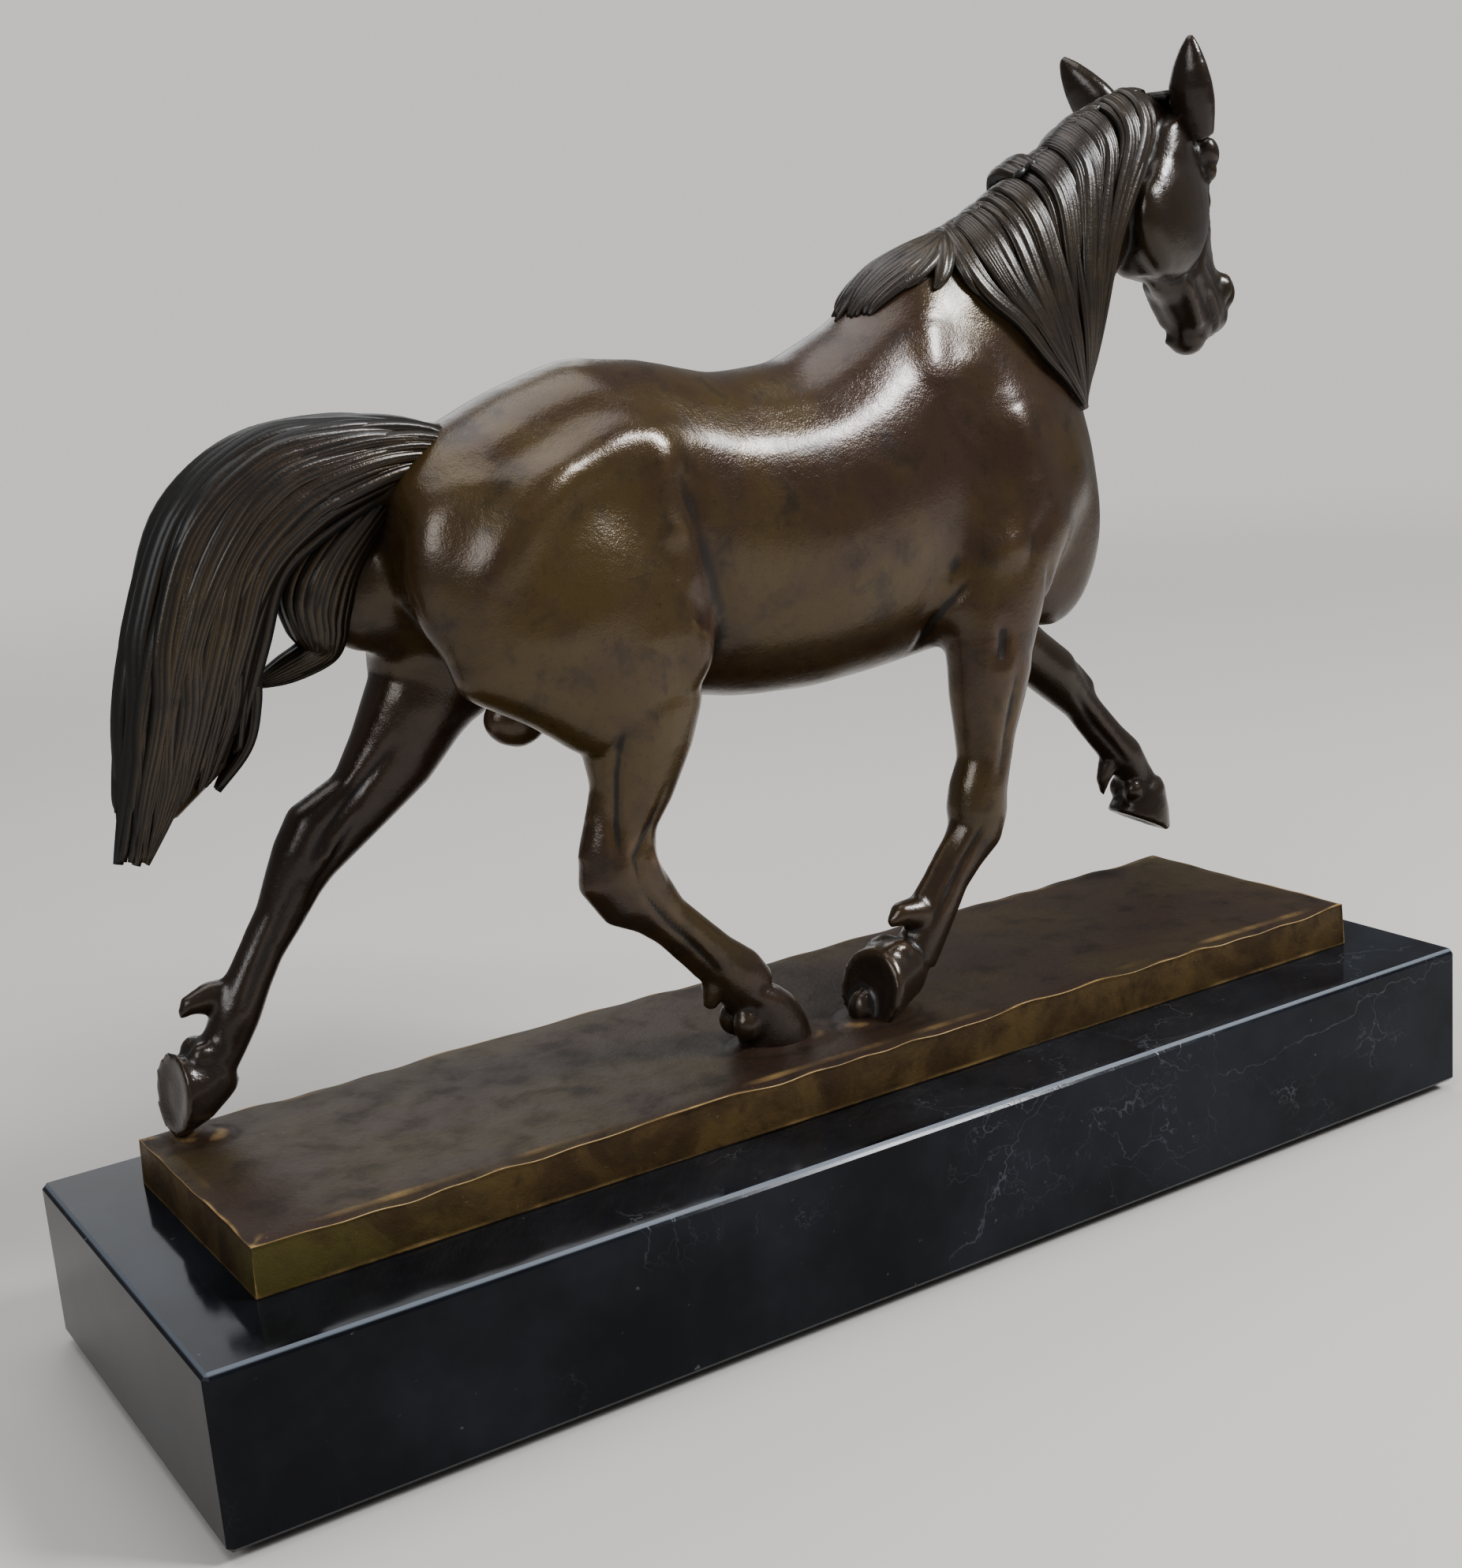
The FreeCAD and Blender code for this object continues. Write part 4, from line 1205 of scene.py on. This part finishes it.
def plinth_finish(patina):
    """The plinth's darker top, and its golden walls and rubbed lip."""
    finish, group = bronze_finish(
        "plinth_bronze", patina, Dark=(0.008, 0.006, 0.005), Brown=(0.045, 0.027, 0.018),
        Olive=(0.055, 0.038, 0.018), Rubbed=(0.42, 0.27, 0.10), Rub=1.0, Gloss=0.46,
        metallic=0.2, coat=0.0)
    place = finish.place
    blotch = finish.noise(place, 46, 6, 0.65, 0.6)
    gold = finish.mix(finish.span(blotch, 0.38, 0.66), (0.055, 0.033, 0.015), (0.105, 0.068, 0.027))
    spots = finish.span(finish.noise(place, 150, 5, 0.65), 0.5, 0.72, 0, 0.7)
    gold = finish.mix(spots, gold, (0.030, 0.018, 0.010))
    along, across, _ = finish.add("SeparateXYZ", (0, place)).outputs
    corner = finish.times(finish.span(along, -0.085, -0.14), finish.span(across, 0.0, -0.03))
    corner = finish.times(corner, finish.span(blotch, 0.35, 0.6))
    gold = finish.mix(finish.times(corner, 0.7), gold, (0.085, 0.076, 0.022))
    wall = finish.span(finish.facing_up(), 0.62, 0.25)
    shade = finish.mix(wall, group.outputs["Color"], gold)
    shade = finish.mix(group.outputs["Rubbed"], shade, (0.40, 0.27, 0.12))
    speck = finish.span(finish.noise(place, 900, 2, 0.5), 0.70, 0.78, 0, 0.6)
    finish.wire(Base_Color=finish.mix(speck, shade, (0.16, 0.12, 0.08)), Specular_IOR_Level=0.35)
    return finish.material


def marble_finish():
    """Polished black stone with fine pale veins and a ground chamfer that catches the light."""
    finish = Finish("black_marble")
    place, times = finish.place, finish.times
    warp = finish.noise(place, 14, 6, 0.6, output="Color")
    bend = finish.add("VectorMath", (0, warp), ("Scale", 0.085), operation="SCALE").outputs[0]
    bent = finish.add("VectorMath", (0, place), (1, bend), operation="ADD").outputs[0]
    veins = []
    for scale, width in ((13.0, 0.005), (34.0, 0.008), (80.0, 0.013)):
        gap = finish.add("TexVoronoi", ("Vector", bent), ("Scale", scale),
                         feature="DISTANCE_TO_EDGE").outputs["Distance"]
        veins.append(finish.span(gap, 0.0, width, 1, 0))
    keep, keep_fine = (finish.span(finish.noise(place, scale, 4, 0.6), 0.52, 0.68)
                       for scale in (11, 22))
    vein = times(times(veins[0], keep), 0.85)
    vein = finish.math("MAXIMUM", vein, times(veins[1], keep_fine))
    vein = finish.math("MAXIMUM", vein, times(times(veins[2], keep_fine), 0.55))
    cloud = finish.mix(finish.span(finish.noise(place, 18, 5, 0.6), 0.35, 0.7),
                       (0.0045, 0.0050, 0.0065), (0.016, 0.018, 0.024))
    stone = finish.mix(times(vein, 0.25), cloud, (0.24, 0.25, 0.27))
    fleck = finish.span(finish.noise(place, 420, 2, 0.5), 0.72, 0.80, 0, 0.7)
    stone = finish.mix(fleck, stone, (0.11, 0.11, 0.12))
    facing = finish.facing_up()
    high = finish.add("SeparateXYZ", (0, place)).outputs["Z"]
    chamfer = times(finish.span(facing, 0.35, 0.5), finish.span(facing, 0.97, 0.9))
    chamfer = times(chamfer, finish.span(high, MARBLE_TOP - 0.0008, MARBLE_TOP - 0.0004))
    stone = finish.mix(times(chamfer, 0.7), stone, (0.17, 0.19, 0.22))
    smear = finish.span(finish.noise(place, 30, 5, 0.7), 0.3, 0.8, 0.07, 0.17)
    matt = finish.plus(finish.plus(smear, times(chamfer, 0.3)), times(vein, 0.12))
    finish.wire(Base_Color=stone, Roughness=matt, Specular_IOR_Level=0.22)
    finish.bump(finish.math("SUBTRACT", finish.noise(place, 90, 3, 0.5), vein), 0.06, 0.0003)
    return finish.material


def steel_finish():
    finish = Finish("brushed_steel")
    drawn = finish.add("Mapping", ("Vector", finish.place), ("Scale", (1.0, 1.0, 0.06))).outputs[0]
    lines = finish.noise(drawn, 2200, 3, 0.6)
    spots = finish.span(finish.noise(finish.place, 260, 4, 0.6), 0.58, 0.75, 0, 0.6)
    shade = finish.mix(finish.span(lines, 0.3, 0.7), (0.30, 0.30, 0.31), (0.55, 0.55, 0.56))
    finish.wire(Base_Color=finish.mix(spots, shade, (0.20, 0.15, 0.11)), Metallic=0.95,
                Roughness=finish.span(lines, 0.2, 0.8, 0.25, 0.5))
    finish.bump(lines, 0.2, 0.0002)
    return finish.material


def felt_finish():
    finish = Finish("black_felt")
    fibre = finish.noise(finish.place, 1500, 5, 0.7, 1.2)
    tuft = finish.noise(finish.place, 380, 4, 0.6)
    shade = finish.mix(finish.span(fibre, 0.35, 0.7), (0.006, 0.006, 0.007), (0.035, 0.034, 0.036))
    finish.wire(Base_Color=shade, Roughness=finish.span(tuft, 0.3, 0.7, 0.85, 1.0),
                Sheen_Weight=0.4, Sheen_Roughness=0.5)
    finish.bump(finish.plus(fibre, tuft), 0.6, 0.0006)
    return finish.material


def floor_finish():
    """Pale and plain, fading into the background far from the object."""
    finish = Finish("pale_floor")
    cloud = finish.noise(finish.place, 3, 3, 0.5)
    shade = finish.mix(cloud, (0.57, 0.54, 0.50), (0.61, 0.58, 0.55))
    away = finish.add("VectorMath", (0, finish.place), operation="LENGTH").outputs["Value"]
    finish.wire(Base_Color=shade, Roughness=0.75, Alpha=finish.span(away, 0.55, 1.5, 1, 0))
    return finish.material


def make_stage():
    bpy.ops.mesh.primitive_plane_add(size=6, location=(0, 0, -0.0002))
    floor = bpy.context.object
    floor.name = "floor"
    floor.data.materials.append(floor_finish())


def area_light(name, at, size, power, colour):
    """A soft light that looks at the statue's middle."""
    toward = Vector((0, 0, 0.14)) - Vector(at)
    bpy.ops.object.light_add(type="AREA", location=at,
                             rotation=toward.to_track_quat("-Z", "Y").to_euler())
    light = bpy.context.object
    light.name = name
    light.data.size = size
    light.data.energy = power
    light.data.color = colour


def make_light():
    world = bpy.data.worlds.new("studio")
    bpy.context.scene.world = world
    world.use_nodes = True
    sheet = Sheet(world.node_tree)
    around = sheet.tree.nodes["Background"]
    sheet.feed(around.inputs["Color"], (0.84, 0.85, 0.87))
    around.inputs["Strength"].default_value = 0.24
    # what stands behind is paler than the light it gives
    behind = sheet.add("Background", ("Color", (0.80, 0.78, 0.75)), ("Strength", 0.80))
    seen = sheet.add("LightPath").outputs["Is Camera Ray"]
    choose = sheet.add("MixShader", (0, seen), (1, around.outputs[0]), (2, behind.outputs[0]))
    sheet.feed(sheet.tree.nodes["World Output"].inputs["Surface"], choose.outputs[0])
    bpy.context.scene.view_settings.look = "AgX - Medium High Contrast"
    area_light("window", (0.85, -0.85, 1.15), 0.42, 24, (0.93, 0.96, 1.0))
    area_light("side", (-1.3, -0.7, 0.9), 0.8, 9, (0.92, 0.96, 1.0))
    area_light("ceiling", (-0.1, 0.2, 1.7), 1.4, 13, (0.97, 0.98, 1.0))
    area_light("back", (0.4, 1.5, 0.9), 0.9, 3, (0.95, 0.97, 1.0))


# ---- build --------------------------------------------------------------------------------

make_camera()
make_stage()
make_light()

patina = make_patina()
FINISHES = {
    "bronze": bronze_finish(
        "dark_bronze", patina, Dark=(0.012, 0.008, 0.006), Brown=(0.055, 0.031, 0.019),
        Olive=(0.080, 0.052, 0.020), Rubbed=(0.18, 0.11, 0.055), Rub=0.4, Gloss=0.24,
        painted_shade=0.72)[0].material,
    "bronze_hair": bronze_finish(
        "hair_bronze", patina, Dark=(0.006, 0.005, 0.004), Brown=(0.040, 0.026, 0.018),
        Olive=(0.054, 0.037, 0.019), Rubbed=(0.13, 0.085, 0.05), Rub=0.5, Gloss=0.30,
        strength=0.5)[0].material,
    "plinth_bronze": plinth_finish(patina),
    "marble": marble_finish(), "steel": steel_finish(), "felt": felt_finish(),
}


def finish_piece(piece, name, slot, *nodes):
    piece.name = name
    piece.data.name = name
    piece.data.materials.clear()
    piece.data.materials.append(FINISHES[slot])
    pick(piece)
    bpy.ops.object.shade_smooth()
    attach(piece, "root")
    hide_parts(*nodes)


horse = join(body_mass(), legs_and_head(), feet())
melt(horse, SKIN_VOXEL, 2)
keep_part(horse, lambda parts: max(parts, key=len))
work_lines(horse, BODY_LINES)
work_lines(horse, HEAD_LINES, on_head, HEAD_LEFT)
apply_modifier(horse, "SMOOTH", factor=0.4, iterations=1)
mark_hollows(horse)

finish_piece(make_mane(horse), "mane_locks", "bronze_hair", "mane")
tail_core = start_form("tail_core")
skin(TAIL)
ball(-98.5, 5, 114, 7, 4, 8.5)
end_form(tail_core)
melt(tail_core, TAIL_VOXEL, 2)
mark_hollows(tail_core)
tail = join(make_tail(), make_inner_lock(), tail_core)
finish_piece(tail, "tail_locks", "bronze_hair", "tail")
finish_piece(make_forelock(), "forelock_locks", "bronze_hair", "forelock")
for side, name, out, back, root, size in ((1, "left", 30, 34, on_head(1, 12, -3), 0.98),
                                          (-1, "right", 5, 25, on_head(2, -9.5, -1.5), 0.9)):
    ear = make_ear(name, side, out, back, root, size)
    mark_hollows(ear, gain=1.3)
    finish_piece(ear, name + "_ear", "bronze", "ear_" + name)
plinth = make_plinth()
mark_hollows(plinth, gain=2.2)
finish_piece(plinth, "plinth_casting", "plinth_bronze", "bronze_plinth")

# The horse was worked as one skin; it is parted where the castings are parted.
NECK_CUT = (spot(85, 1, 157), Vector((0.745, 0.04, 0.667)))
HEAD_CUT = (spot(125, 3, 200), AHEAD * 0.976 - Vector((0, 0, 0.217)))
LEG_CUT = (spot(0, 0, 74.5), Vector((0, 0, -1)))


def other_side(cut_plane):
    return cut_plane[0], -cut_plane[1]


for name, node, cuts in (("body_skin", "torso", (other_side(LEG_CUT), other_side(NECK_CUT))),
                         ("neck_skin", "neck", (NECK_CUT, other_side(HEAD_CUT))),
                         ("head_skin", "head", (HEAD_CUT, NECK_CUT))):
    finish_piece(slice_of(horse, *cuts), name, "bronze", node)
legs = slice_of(horse, LEG_CUT)
for name, x, y in (("hind_right", -35, -17.5), ("hind_left", -115, 20), ("fore_right", 40, -19),
                   ("fore_left", 112, 17)):
    leg = keep_part(copy_of(legs), nearest_to(x, y))
    finish_piece(leg, name + "_leg", "bronze", "leg_" + name)
for spare in (legs, horse):
    bpy.data.objects.remove(spare)

for name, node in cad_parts.items():
    kind = name.split("_")[0]
    node.data.materials.clear()
    node.data.materials.append(FINISHES[kind if kind in FINISHES else "steel"])
